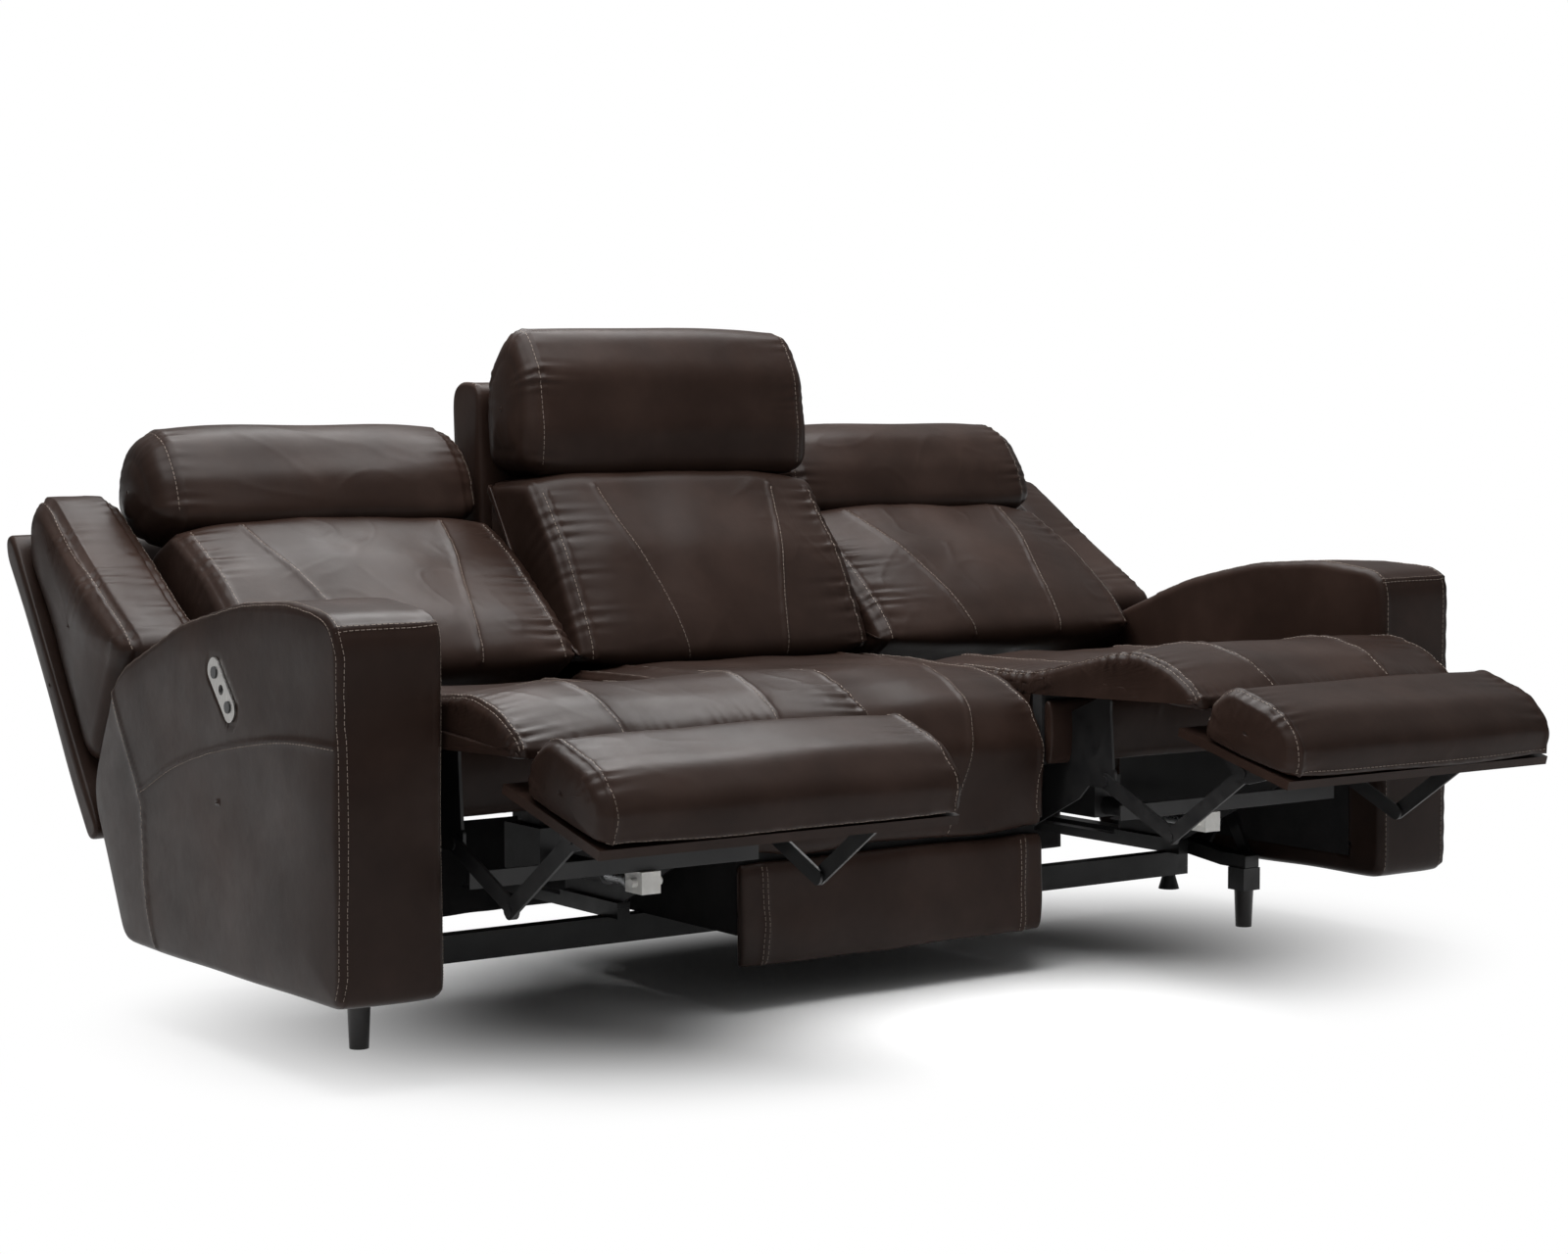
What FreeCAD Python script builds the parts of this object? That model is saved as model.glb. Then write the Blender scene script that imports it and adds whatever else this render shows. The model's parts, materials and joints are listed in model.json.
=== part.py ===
"""Reclining sofa: three seats, the outer two shown reclined with their footrests out.

Millimetres. X runs across the sofa, its middle at X = 0. Y runs from the front to the back, Z up.
While it is built, Y = 0 is the front face of the arms. At the end all of it moves along Y, so that
the origin is under the middle of the sofa's box, on the floor.
Each recliner is drawn in the pose of the photograph: seat forward, back down, footrest out.
"""
import FreeCAD, Part
import math
import os

Vector = FreeCAD.Vector

# Driving sizes
SIZES = {
    # widths
    "seat_width": 636,
    "arm_width": 176,
    "side_gap": 2,
    "touch_gap": 0.3,
    "fold_gap": 0.5,
    "seam_dip": 2,
    # heights above the floor
    "leg_height": 70,
    "leg_radius": 18,
    "leg_foot_radius": 15,
    "leg_block": 42,
    "leg_block_depth": 42,
    "rail_bottom": 80,
    "rail_height": 45,
    "rail_depth": 30,
    "rail_setback": 24,
    "front_rail_y": 470,
    "rear_rail_y": 885,
    "rear_leg_spread": 700,
    "glide_height": 27,
    "glide_radius": 20,
    "glide_spread": 895,
    # base side rails and arm brackets
    "side_rail_width": 35,
    "side_rail_height": 25,
    "side_rail_front": 295,
    "side_rail_bend": 360,
    "bracket_thickness": 6,
    "bracket_height": 120,
    "bracket_half": 80,
    # tracks under the recliner seats
    "track_width": 24,
    "track_height": 18,
    "track_margin": 125,
    "track_inset": 54,
    # arms
    "arm_clearance": 127,
    "arm_height": 688,
    "arm_front_height": 674,
    "arm_rear_shoulder": 550,
    "arm_bulge_height": 350,
    "arm_bulge_depth": 852,
    "arm_foot_depth": 731,
    "arm_edge_round": 8,
    "arm_board_front": 76,
    "arm_board_rear": 690,
    "arm_board_bottom": 160,
    "arm_board_top": 500,
    "arm_board_thickness": 18,
    # switches in the outer faces of the arms
    "switch_y": 351,
    "switch_z": 553,
    "switch_tilt": 47,
    "switch_length": 112,
    "switch_width": 38,
    "switch_thickness": 3,
    "switch_pocket_length": 100,
    "switch_pocket_width": 28,
    "switch_pocket_depth": 22,
    "button_radius": 9,
    "button_gap": 0.3,
    "button_length": 12,
    "button_proud": 2,
    "button_spread": 33,
    "button_bore_depth": 15,
    "port_width": 12.5,
    "port_height": 5,
    "port_depth": 9,
    "port_tongue": 1.8,
    # centre seat
    "centre_box_front": 200,
    "centre_box_rear": 900,
    "centre_box_bottom": 125,
    "centre_box_top": 380,
    "centre_box_inset": 6,
    "centre_panel_thickness": 20,
    "centre_panel_bottom": 68,
    "centre_panel_top": 248,
    "centre_seat_height": 520,
    "centre_back_height": 848,
    "headrest_height": 1110,
    "centre_shell_height": 1020,
    # recliner seat, from the floor and the front of the arms, with the seat slid forward
    "recline_travel": 185,
    "deck_front": 190,
    "deck_rear": 570,
    "cushion_rear": 606,
    "deck_bottom": 358,
    "deck_thickness": 18,
    "front_board_thickness": 24,
    "front_board_top": 478,
    "seat_height": 522,
    "flap_hinge_y": 85,
    "flap_hinge_z": 470,
    "flap_length": 281,
    "flap_thickness": 78,
    "back_hinge_y": 590,
    "back_hinge_z": 336,
    "back_angle": 27,
    "side_plate_thickness": 5,
    "side_plate_front": 58,
    "side_plate_lip": 324,
    "side_plate_throat": 126,
    "shoe_width": 26,
    "shoe_height": 9,
    "shoe_front": 440,
    "shoe_length": 180,
    # recliner back, from its hinge with the back upright
    "shell_length": 560,
    "shell_thickness": 40,
    "shell_lean": 9.6,
    "shell_foot_y": 280,
    "shell_foot_z": 62,
    "shell_overhang": 168,
    "wing_width": 153,
    "frame_thickness": 30,
    "hinge_arm_thickness": 5,
    # footrest, from the rear top edge of its board
    "footrest_y": -139,
    "footrest_z": 449,
    "footrest_tilt": 14.5,
    "footrest_length": 257,
    "footrest_width": 610,
    "footrest_board": 14,
    "roll_height": 97,
    "roll_rear": 49,
    # footrest linkage
    "link_width": 26,
    "link_thickness": 5,
    "link_gap": 1,
    "pin_radius": 6,
    "pin_gap": 0.05,
    "pin_head": 9,
    "pin_head_thickness": 2.5,
    "knee_y": -90,
    "knee_z": 262,
    "rear_link_length": 183.7,
    "rear_link_angle": 24.1,
    "bracket_reach": 137,
    "bracket_drop": 31,
    # actuator
    "actuator_offset": 580,
    "clevis_y": 62,
    "clevis_z": 255,
    "clevis_width": 34,
    "clevis_length": 46,
    "clevis_pin_radius": 7,
    "tube_radius": 13,
    "tube_gap": 0.1,
    "inner_tube_length": 205,
    "ring_length": 9,
    "housing_wall": 4,
    "housing_setback": 96,
    "housing_length": 262,
    "bore_reserve": 180,
    "motor_length": 110,
    "motor_width": 62,
    "motor_height": 74,
    "motor_drop": 20,
    "beam_leg": 26,
    "beam_wall": 4,
    "beam_end_gap": 0.5,
    "drive_stroke": 60,
}

doc = FreeCAD.newDocument("reclining_sofa")
sheet = doc.addObject("Spreadsheet::Sheet", "Sizes")
for row, (name, value) in enumerate(SIZES.items(), 1):
    sheet.set(f"A{row}", name)
    sheet.set(f"B{row}", str(value))
    sheet.setAlias(f"B{row}", name)
doc.recompute()

subparts = []


def size(name):
    """A driving size, read from the sheet."""
    return float(sheet.get(name))


def keep(piece, label):
    """Name a finished sub-part and list it for export."""
    piece.Label = label
    subparts.append(piece)
    return piece


# Outlines in a plane: lists of (y, z) corners, drawn with round corners
def rounded(corners, radius):
    """Lines and arcs of a closed outline: (kind, points) with every corner rounded."""
    count = len(corners)
    radii = radius if isinstance(radius, (list, tuple)) else [radius] * count
    cuts = []
    for i, (y, z) in enumerate(corners):
        before = corners[i - 1]
        after = corners[(i + 1) % count]
        length_in = math.dist(before, (y, z))
        length_out = math.dist(after, (y, z))
        way_in = ((before[0] - y) / length_in, (before[1] - z) / length_in)
        way_out = ((after[0] - y) / length_out, (after[1] - z) / length_out)
        cosine = way_in[0] * way_out[0] + way_in[1] * way_out[1]
        half = math.acos(max(-1, min(1, cosine))) / 2
        tangent = min(radii[i] / math.tan(half), 0.46 * length_in, 0.46 * length_out)
        reach = tangent / math.cos(half)
        bow = reach - tangent * math.tan(half)
        middle = (way_in[0] + way_out[0], way_in[1] + way_out[1])
        norm = math.hypot(*middle)
        start = (y + way_in[0] * tangent, z + way_in[1] * tangent)
        end = (y + way_out[0] * tangent, z + way_out[1] * tangent)
        via = (y + middle[0] / norm * bow, z + middle[1] / norm * bow)
        cuts.append((start, via, end))
    edges = []
    for i, (start, via, end) in enumerate(cuts):
        edges.append(("arc", (start, via, end)))
        edges.append(("line", (end, cuts[(i + 1) % count][0])))
    return edges


def inset(corners, amount):
    """The outline moved facing by amount, for corners listed clockwise or not."""
    area = sum(
        corners[i - 1][0] * corners[i][1] - corners[i][0] * corners[i - 1][1]
        for i in range(len(corners))
    )
    turn = 1 if area > 0 else -1
    moved = []
    for i, corner in enumerate(corners):
        before = corners[i - 1]
        after = corners[(i + 1) % len(corners)]
        first = (corner[0] - before[0], corner[1] - before[1])
        second = (after[0] - corner[0], after[1] - corner[1])
        first_length = math.hypot(*first)
        second_length = math.hypot(*second)
        normal_a = (-first[1] / first_length * turn, first[0] / first_length * turn)
        normal_b = (-second[1] / second_length * turn, second[0] / second_length * turn)
        dot = normal_a[0] * normal_b[0] + normal_a[1] * normal_b[1]
        share = amount / max(0.25, 1 + dot)
        moved.append((
            corner[0] + (normal_a[0] + normal_b[0]) * share,
            corner[1] + (normal_a[1] + normal_b[1]) * share,
        ))
    return moved


def outline_wire(corners, radius, x):
    """A closed wire of lines and arcs at the given X."""
    edges = []
    for kind, points in rounded(corners, radius):
        places = [Vector(x, y, z) for y, z in points]
        if kind == "arc":
            edges.append(Part.Arc(*places).toShape())
        else:
            edges.append(Part.LineSegment(*places).toShape())
    return Part.Wire(edges)


def padded(corners, radius, x_low, x_high, draw_in, dip=0.0, seams=(), sharpness=4):
    """A crowned cushion form: sections along X, drawn in at both ends and at the sewn seams."""
    stations = 13 if seams else 7
    wires = []
    for i in range(stations):
        share = i / (stations - 1)
        amount = draw_in * abs(2 * share - 1) ** sharpness
        if any(abs(share - seam) < 0.5 / (stations - 1) for seam in seams):
            amount += dip
        x = x_low + (x_high - x_low) * share
        wires.append(outline_wire(inset(corners, amount), radius, x))
    return Part.makeLoft(wires, True, False)


def feature(shape, name):
    """A document object that holds a shape made above."""
    piece = doc.addObject("Part::Feature", name)
    piece.Shape = shape
    return piece


def span(side, near, far):
    """Lowest and highest X of a piece between two distances from the middle, on one side."""
    return (near, far) if side > 0 else (-far, -near)


# Sketched pieces
def plane_of(body, role):
    return next(f for f in body.Origin.OriginFeatures if f.Role == role)


def draw(sketch, corners, radius, holes):
    """Draw a rounded outline, where there is one, and round holes in a sketch."""
    for kind, points in rounded(corners, radius) if corners else ():
        places = [Vector(y, z, 0) for y, z in points]
        if kind == "arc":
            sketch.addGeometry(Part.Arc(*places), False)
        else:
            sketch.addGeometry(Part.LineSegment(*places), False)
    for y, z, hole_radius in holes:
        circle = Part.Circle(Vector(y, z, 0), Vector(0, 0, 1), hole_radius)
        sketch.addGeometry(circle, False)


def profile_body(name, corners, radius, thickness, holes=()):
    """A body drawn on the YZ plane and padded along +X by a bound thickness."""
    body = doc.addObject("PartDesign::Body", name)
    sketch = body.newObject("Sketcher::SketchObject", name + "_sketch")
    sketch.AttachmentSupport = [(plane_of(body, "YZ_Plane"), "")]
    sketch.MapMode = "FlatFace"
    draw(sketch, corners, radius, holes)
    pad = body.newObject("PartDesign::Pad", name + "_pad")
    pad.Profile = sketch
    pad.setExpression("Length", bound(thickness))
    sketch.Visibility = False
    doc.recompute()
    return body


def bound(text):
    """An expression on the sheet: each word becomes a cell's alias."""
    words = text.replace("(", "( ").replace(")", " )").split()
    return " ".join("Sizes." + word if word[0].isalpha() else word for word in words)


def pocket(body, name, corners, radius, depth, holes, far_x):
    """Cut an outline or round holes into a body, from its far face back towards X = 0."""
    sketch = body.newObject("Sketcher::SketchObject", name)
    sketch.AttachmentSupport = [(plane_of(body, "YZ_Plane"), "")]
    sketch.MapMode = "FlatFace"
    sketch.AttachmentOffset = FreeCAD.Placement(Vector(0, 0, far_x), FreeCAD.Rotation())
    draw(sketch, corners, radius, holes)
    cut = body.newObject("PartDesign::Pocket", name + "_pocket")
    cut.Profile = sketch
    cut.setExpression("Length", bound(depth))
    doc.recompute()
    return cut


def box(name, length, width, height, corner):
    """A box whose three sizes are bound expressions, with its low corner at a place."""
    piece = doc.addObject("Part::Box", name)
    piece.setExpression("Length", bound(length))
    piece.setExpression("Width", bound(width))
    piece.setExpression("Height", bound(height))
    piece.Placement.Base = Vector(*corner)
    return piece


def rod(name, radius, height, base, direction):
    """A cylinder with bound sizes, standing on base and pointing along direction."""
    piece = doc.addObject("Part::Cylinder", name)
    piece.setExpression("Radius", bound(radius))
    piece.setExpression("Height", bound(height))
    turn = FreeCAD.Rotation(Vector(0, 0, 1), Vector(*direction))
    piece.Placement = FreeCAD.Placement(Vector(*base), turn)
    return piece


def group(name, pieces):
    """Several separate solids that share one node."""
    piece = doc.addObject("Part::Compound", name)
    piece.Links = pieces
    return piece


def fuse(name, pieces):
    piece = doc.addObject("Part::MultiFuse", name)
    piece.Shapes = pieces
    return piece


def cut(name, base, tool):
    piece = doc.addObject("Part::Cut", name)
    piece.Base = base
    piece.Tool = tool
    return piece


def about_x(y, z, degrees, x=0.0):
    """A place at (y, z), turned about X."""
    return FreeCAD.Placement(Vector(x, y, z), FreeCAD.Rotation(Vector(1, 0, 0), degrees))


def turned(y, z, degrees):
    angle = math.radians(degrees)
    return (
        y * math.cos(angle) - z * math.sin(angle),
        y * math.sin(angle) + z * math.cos(angle),
    )


def side_name(side):
    return "right" if side > 0 else "left"


inner_x = size("seat_width") / 2
arm_inner = inner_x + size("seat_width")
arm_outer = arm_inner + size("arm_width")
gap = size("side_gap")
touch = size("touch_gap")
seam_dip = size("seam_dip")
end_seams = (1 / 6, 5 / 6)
inner_seams = (1 / 3, 2 / 3)
rail_top = size("rail_bottom") + size("rail_height")
track_top = rail_top + size("track_height")
deck_top = size("deck_bottom") + size("deck_thickness")
leg_x = arm_inner - size("side_rail_width") / 2 - size("bracket_thickness") - 2.5


# Base: rails, legs and glides
def make_base():
    half_rail = arm_inner - size("rail_setback")
    rails = []
    for name, y in (("front_cross_rail", "front_rail_y"), ("rear_cross_rail", "rear_rail_y")):
        place = (-half_rail, size(y), size("rail_bottom"))
        rails.append(box(name, "3 * seat_width - 2 * rail_setback", "rail_depth", "rail_height", place))
    keep(group("cross_rails_group", rails), "cross_rails")

    front_y = size("side_rail_front") + size("leg_block_depth") / 2
    rear_y = size("rear_rail_y") + size("rail_depth") / 2
    half_block = size("leg_block_depth") / 2
    blocks = []
    legs = []
    for place, x, y, height in (
        ("front", leg_x, front_y, "leg_block"),
        ("rear", size("rear_leg_spread"), rear_y, "rail_bottom - leg_height"),
    ):
        for side in (-1, 1):
            leg = doc.addObject("Part::Cone", f"{place}_leg_{side_name(side)}")
            leg.setExpression("Radius1", bound("leg_foot_radius"))
            leg.setExpression("Radius2", bound("leg_radius"))
            leg.setExpression("Height", bound("leg_height"))
            leg.Placement.Base = Vector(side * x, y, 0)
            legs.append(leg)
            corner = (side * x - half_block, y - half_block, size("leg_height"))
            name = f"{place}_block_{side_name(side)}"
            blocks.append(box(name, "leg_block_depth", "leg_block_depth", height, corner))
    keep(group("legs_group", legs), "legs")
    keep(group("leg_blocks_group", blocks), "leg_blocks")

    glides = []
    for side in (-1, 1):
        glide = doc.addObject("Part::Cone", f"glide_{side_name(side)}")
        glide.setExpression("Radius1", bound("glide_radius"))
        glide.setExpression("Radius2", bound("glide_radius * 0.6"))
        glide.setExpression("Height", bound("glide_height"))
        low = size("rail_bottom") - size("glide_height")
        y = size("front_rail_y") + size("rail_depth") / 2
        glide.Placement.Base = Vector(side * size("glide_spread"), y, low)
        glides.append(glide)
    keep(group("rail_glides_group", glides), "rail_glides")


def make_side_rails():
    """Steel rails on the cross rails, with the brackets that hold the arms."""
    front = size("side_rail_front")
    bend = size("side_rail_bend")
    low = size("leg_height") + size("leg_block")
    high = size("side_rail_height")
    rear = size("rear_rail_y") + size("rail_depth")
    front_rail = size("front_rail_y")
    rail = [
        (front, low), (bend, low), (front_rail, rail_top), (rear, rail_top),
        (rear, rail_top + high), (front_rail - 5, rail_top + high),
        (bend - 5, low + high), (front, low + high),
    ]
    half = size("bracket_half")
    rails = []
    for side in (-1, 1):
        parts = []
        near, far = span(side, leg_x - size("side_rail_width") / 2, leg_x + size("side_rail_width") / 2)
        name = f"side_rail_{side_name(side)}"
        bar = profile_body(name + "_bar", rail, 3, "side_rail_width")
        bar.Placement.Base = Vector(near, 0, 0)
        parts.append(bar)
        plate_near, _ = span(side, leg_x + size("side_rail_width") / 2, arm_inner)
        for y in (front + half + 15, rear - 3.5 * half):
            base = low if y < front_rail else rail_top
            top = base + size("bracket_height")
            bracket = [
                (y - half, base + 4), (y - half + 24, base + 4), (y, top - 30),
                (y + half - 24, base + 4), (y + half, base + 4), (y + 14, top), (y - 14, top),
            ]
            plate = profile_body(
                f"{name}_bracket_{len(parts)}", bracket, 3, "bracket_thickness + 2.5"
            )
            plate.Placement.Base = Vector(plate_near, 0, 0)
            parts.append(plate)
        rails.append(fuse(name, parts))
    keep(group("base_side_rails_group", rails), "base_side_rails")


def make_tracks():
    tracks = []
    length = "shoe_length + recline_travel + track_margin"
    half = size("track_width") / 2
    for side in (-1, 1):
        for x in (inner_x + size("track_inset"), arm_inner - size("track_inset") - 10):
            corner = (side * x - half, size("shoe_front"), rail_top)
            name = f"track_{side_name(side)}_{len(tracks)}"
            tracks.append(box(name, "track_width", length, "track_height", corner))
    keep(group("recline_tracks_group", tracks), "recline_tracks")


# Arms
def arm_outline():
    height = size("arm_height")
    shoulder = size("arm_rear_shoulder")
    bulge = size("arm_bulge_depth")
    low = size("arm_clearance")
    return [
        (0, low), (0, size("arm_front_height")), (150, height), (320, height - 8),
        (510, height - 50), (bulge - 100, shoulder), (bulge, size("arm_bulge_height")),
        (size("arm_foot_depth"), low),
    ]


def stadium(length, width):
    half = length / 2
    return [(-half, -width / 2), (-half, width / 2), (half, width / 2), (half, -width / 2)]


def make_arm(side):
    word = side_name(side)
    low_x, high_x = span(side, arm_inner, arm_outer)
    radii = [12, 42, 160, 260, 260, 120, 90, 30]
    form = padded(arm_outline(), radii, low_x, high_x, size("arm_edge_round"), sharpness=6)
    arm = feature(form, f"arm_form_{word}")

    board_near, _ = span(side, arm_inner, arm_inner + size("arm_board_thickness"))
    corner = (board_near, size("arm_board_front"), size("arm_board_bottom"))
    sizes = (
        "arm_board_thickness",
        "arm_board_rear - arm_board_front",
        "arm_board_top - arm_board_bottom",
    )
    recess = box(f"arm_recess_{word}", *sizes, corner)
    board = box(f"arm_board_box_{word}", *sizes, corner)

    tilt = size("switch_tilt")
    place_y = size("switch_y")
    place_z = size("switch_z")
    depth = size("switch_pocket_depth")
    pocket_near, _ = span(side, arm_outer - depth, arm_outer)
    round_ends = size("switch_pocket_width") / 2
    pocket_outline = stadium(size("switch_pocket_length"), size("switch_pocket_width"))
    tool = profile_body(f"switch_pocket_{word}", pocket_outline, round_ends, "switch_pocket_depth")
    tool.Placement = about_x(place_y, place_z, tilt, pocket_near)
    keep(cut(f"arm_cut_{word}", cut(f"arm_cut_board_{word}", arm, recess), tool), f"arm_cover_{word}")
    keep(board, f"arm_board_{word}")

    # the switch body has bores for two buttons and a charging port between them
    spread = size("button_spread")
    bore = size("button_radius") + size("button_gap")
    bores = [(-spread, 0, bore), (spread, 0, bore)]
    housing = profile_body(
        f"switch_body_{word}", pocket_outline, round_ends, "switch_pocket_depth"
    )
    # a pocket runs towards -X from the face at X = depth; the left arm's body is turned about
    pocket(housing, f"button_bores_{word}", (), 0, "button_bore_depth", bores, depth)
    port = stadium(size("port_width"), size("port_height"))
    pocket(housing, f"port_{word}", port, 0.6, "port_depth", (), depth)
    facing = FreeCAD.Rotation(Vector(1, 0, 0), tilt)
    if side < 0:
        facing = facing.multiply(FreeCAD.Rotation(Vector(0, 1, 0), 180))
    housing.Placement = FreeCAD.Placement(
        Vector(side * (arm_outer - depth), place_y, place_z), facing
    )
    tongue_length = size("port_width") - 2.4
    tongue = box(
        f"port_tongue_{word}", "port_depth - 1", f"{tongue_length}", "port_tongue", (0, 0, 0)
    )
    tongue_place = FreeCAD.Placement(
        Vector(depth - size("port_depth"), -tongue_length / 2, -size("port_tongue") / 2),
        FreeCAD.Rotation(),
    )
    tongue.Placement = housing.Placement.multiply(tongue_place)
    keep(fuse(f"switch_housing_fuse_{word}", [housing, tongue]), f"switch_housing_{word}")

    plate = profile_body(
        f"switch_plate_body_{word}",
        stadium(size("switch_length"), size("switch_width")),
        size("switch_width") / 2,
        "switch_thickness",
        bores + [(0, 0, size("port_width") / 2 + 1.5)],
    )
    plate_near, _ = span(side, arm_outer, arm_outer + size("switch_thickness"))
    plate.Placement = about_x(place_y, place_z, tilt, plate_near)
    keep(plate, f"switch_plate_{word}")

    outer = arm_outer + size("switch_thickness") + size("button_proud")
    for name, along in (("open", -spread), ("close", spread)):
        y, z = turned(along, 0, tilt)
        base = (side * (outer - size("button_length")), place_y + y, place_z + z)
        button = rod(
            f"button_{name}_rod_{word}", "button_radius", "button_length", base, (side, 0, 0)
        )
        keep(button, f"button_{name}_{word}")


# Centre seat, which stays still
def make_centre():
    half = inner_x - gap
    box_half = inner_x - size("centre_box_inset")
    front = size("centre_box_front")
    rear = size("centre_box_rear")
    low = size("centre_box_bottom")
    top = size("centre_box_top")
    seat_top = size("centre_seat_height")
    back_top = size("centre_back_height")
    keep(
        box(
            "centre_box", f"{2 * box_half}", "centre_box_rear - centre_box_front",
            "centre_box_top - centre_box_bottom", (-box_half, front, low),
        ),
        "centre_seat_frame",
    )
    panel_top = size("centre_panel_top")
    panel_low = size("centre_panel_bottom")
    thick = size("centre_panel_thickness")
    panel = [
        (front - touch, panel_low), (front - thick, panel_low + 4), (front - thick - 3, 130),
        (front - thick, panel_top - 4), (front - touch, panel_top),
    ]
    keep(feature(padded(panel, 3, -half, half, 1.5, sharpness=8), "front_panel"), "centre_front_panel")

    clear = 3 * touch
    seat = [
        (front - clear, panel_top + 4), (front - 22, panel_top + 4), (front - 35, 395),
        (205, 468), (275, 504), (350, seat_top), (720, seat_top),
        (720, top + clear), (front - clear, top + clear),
    ]
    seat_radii = [2, 12, 60, 40, 40, 60, 30, 5, 2]
    form = padded(seat, seat_radii, -half, half, 7, seam_dip, end_seams)
    keep(feature(form, "centre_cushion"), "centre_seat_cushion")

    shell_top = size("centre_shell_height")
    shell = [
        (rear + touch, 258), (rear + 172, 255), (rear + 208, shell_top - 20),
        (rear + 192, shell_top), (rear + 110, shell_top - 2), (rear + 85, 420),
        (rear + touch, top - 10),
    ]
    shell_form = padded(shell, [4, 20, 16, 16, 16, 60, 4], -half - 1, half + 1, 4, sharpness=6)
    keep(feature(shell_form, "centre_shell"), "centre_back_shell")

    back = [
        (642, seat_top + touch), (690, 600), (772, 735), (848, back_top), (rear + 98, back_top),
        (rear + 84.5, seat_top + touch),
    ]
    back_form = padded(back, [16, 200, 200, 24, 10, 10], -half, half, 16, seam_dip, inner_seams)
    keep(feature(back_form, "centre_back"), "centre_back_cushion")

    head_top = size("headrest_height")
    roll = [
        (846, back_top + touch), (838, 930), (850, 1035), (900, head_top), (950, head_top),
        (1002, 1045), (1004, 940), (996, back_top + touch),
    ]
    roll_form = padded(roll, [20, 80, 70, 50, 50, 60, 60, 20], -half, half, 16, sharpness=4)
    keep(feature(roll_form, "headrest"), "centre_headrest")


# Recliner seat: frame, side plates and cushion
def plate_places():
    """Each side plate's distance from the sofa's middle, and the side of it that has the links."""
    thick = size("side_plate_thickness")
    near = inner_x + size("track_inset") - thick / 2
    far = arm_inner - size("track_inset") - 10 - thick / 2
    return ((near, -1), (far, 1))


def layer(side, plate_x, facing, level, thickness):
    """Low X of a link that lies a number of layers out from a side plate."""
    plate = size("side_plate_thickness")
    step = size("link_thickness") + size("link_gap")
    if facing > 0:
        near = plate_x + plate + size("link_gap") + (level - 1) * step
    else:
        near = plate_x - size("link_gap") - (level - 1) * step - thickness
    low, _ = span(side, near, near + thickness)
    return low


def pin(name, side, plate_x, facing, level, levels, y, z):
    """A pin fixed in one layer: it passes through the next ones and ends in a head."""
    plate = size("side_plate_thickness")
    link = size("link_thickness")
    between = size("link_gap")
    if level == 0:
        start = plate_x if facing > 0 else plate_x + plate
        length = plate + levels * (link + between) + between / 2
    else:
        step = link + between
        offset = between + (level - 1) * step
        start = plate_x + plate + offset if facing > 0 else plate_x - offset
        length = link + levels * (link + between) + between / 2
    way = side * facing
    base = (side * start, y, z)
    shank = rod(name + "_shank", "pin_radius", f"{length}", base, (way, 0, 0))
    head_base = (side * start + way * length, y, z)
    head = rod(name + "_head", "pin_head", "pin_head_thickness", head_base, (way, 0, 0))
    return [shank, head]


def link_body(name, length, side_low, y, z, degrees):
    """A flat bar with a hole at each end, from its first pivot along +Y, then turned."""
    half = size("link_width") / 2
    corners = [(-half, -half), (length + half, -half), (length + half, half), (-half, half)]
    hole = size("pin_radius") + size("pin_gap")
    holes = [(0, 0, hole), (length, 0, size("pin_radius"))]
    body = profile_body(name, corners, half * 0.98, "link_thickness", holes)
    body.Placement = about_x(y, z, degrees, side_low)
    return body


def linkage():
    """Pivots of the footrest linkage with the footrest out: seat, knee and footrest."""
    knee = (size("knee_y"), size("knee_z"))
    along = turned(size("rear_link_length"), 0, size("rear_link_angle"))
    seat_pivot = (knee[0] + along[0], knee[1] + along[1])
    reach = turned(-size("bracket_reach"), -size("bracket_drop"), size("footrest_tilt"))
    foot_pivot = (size("footrest_y") + reach[0], size("footrest_z") + reach[1])
    return seat_pivot, knee, foot_pivot


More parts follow.
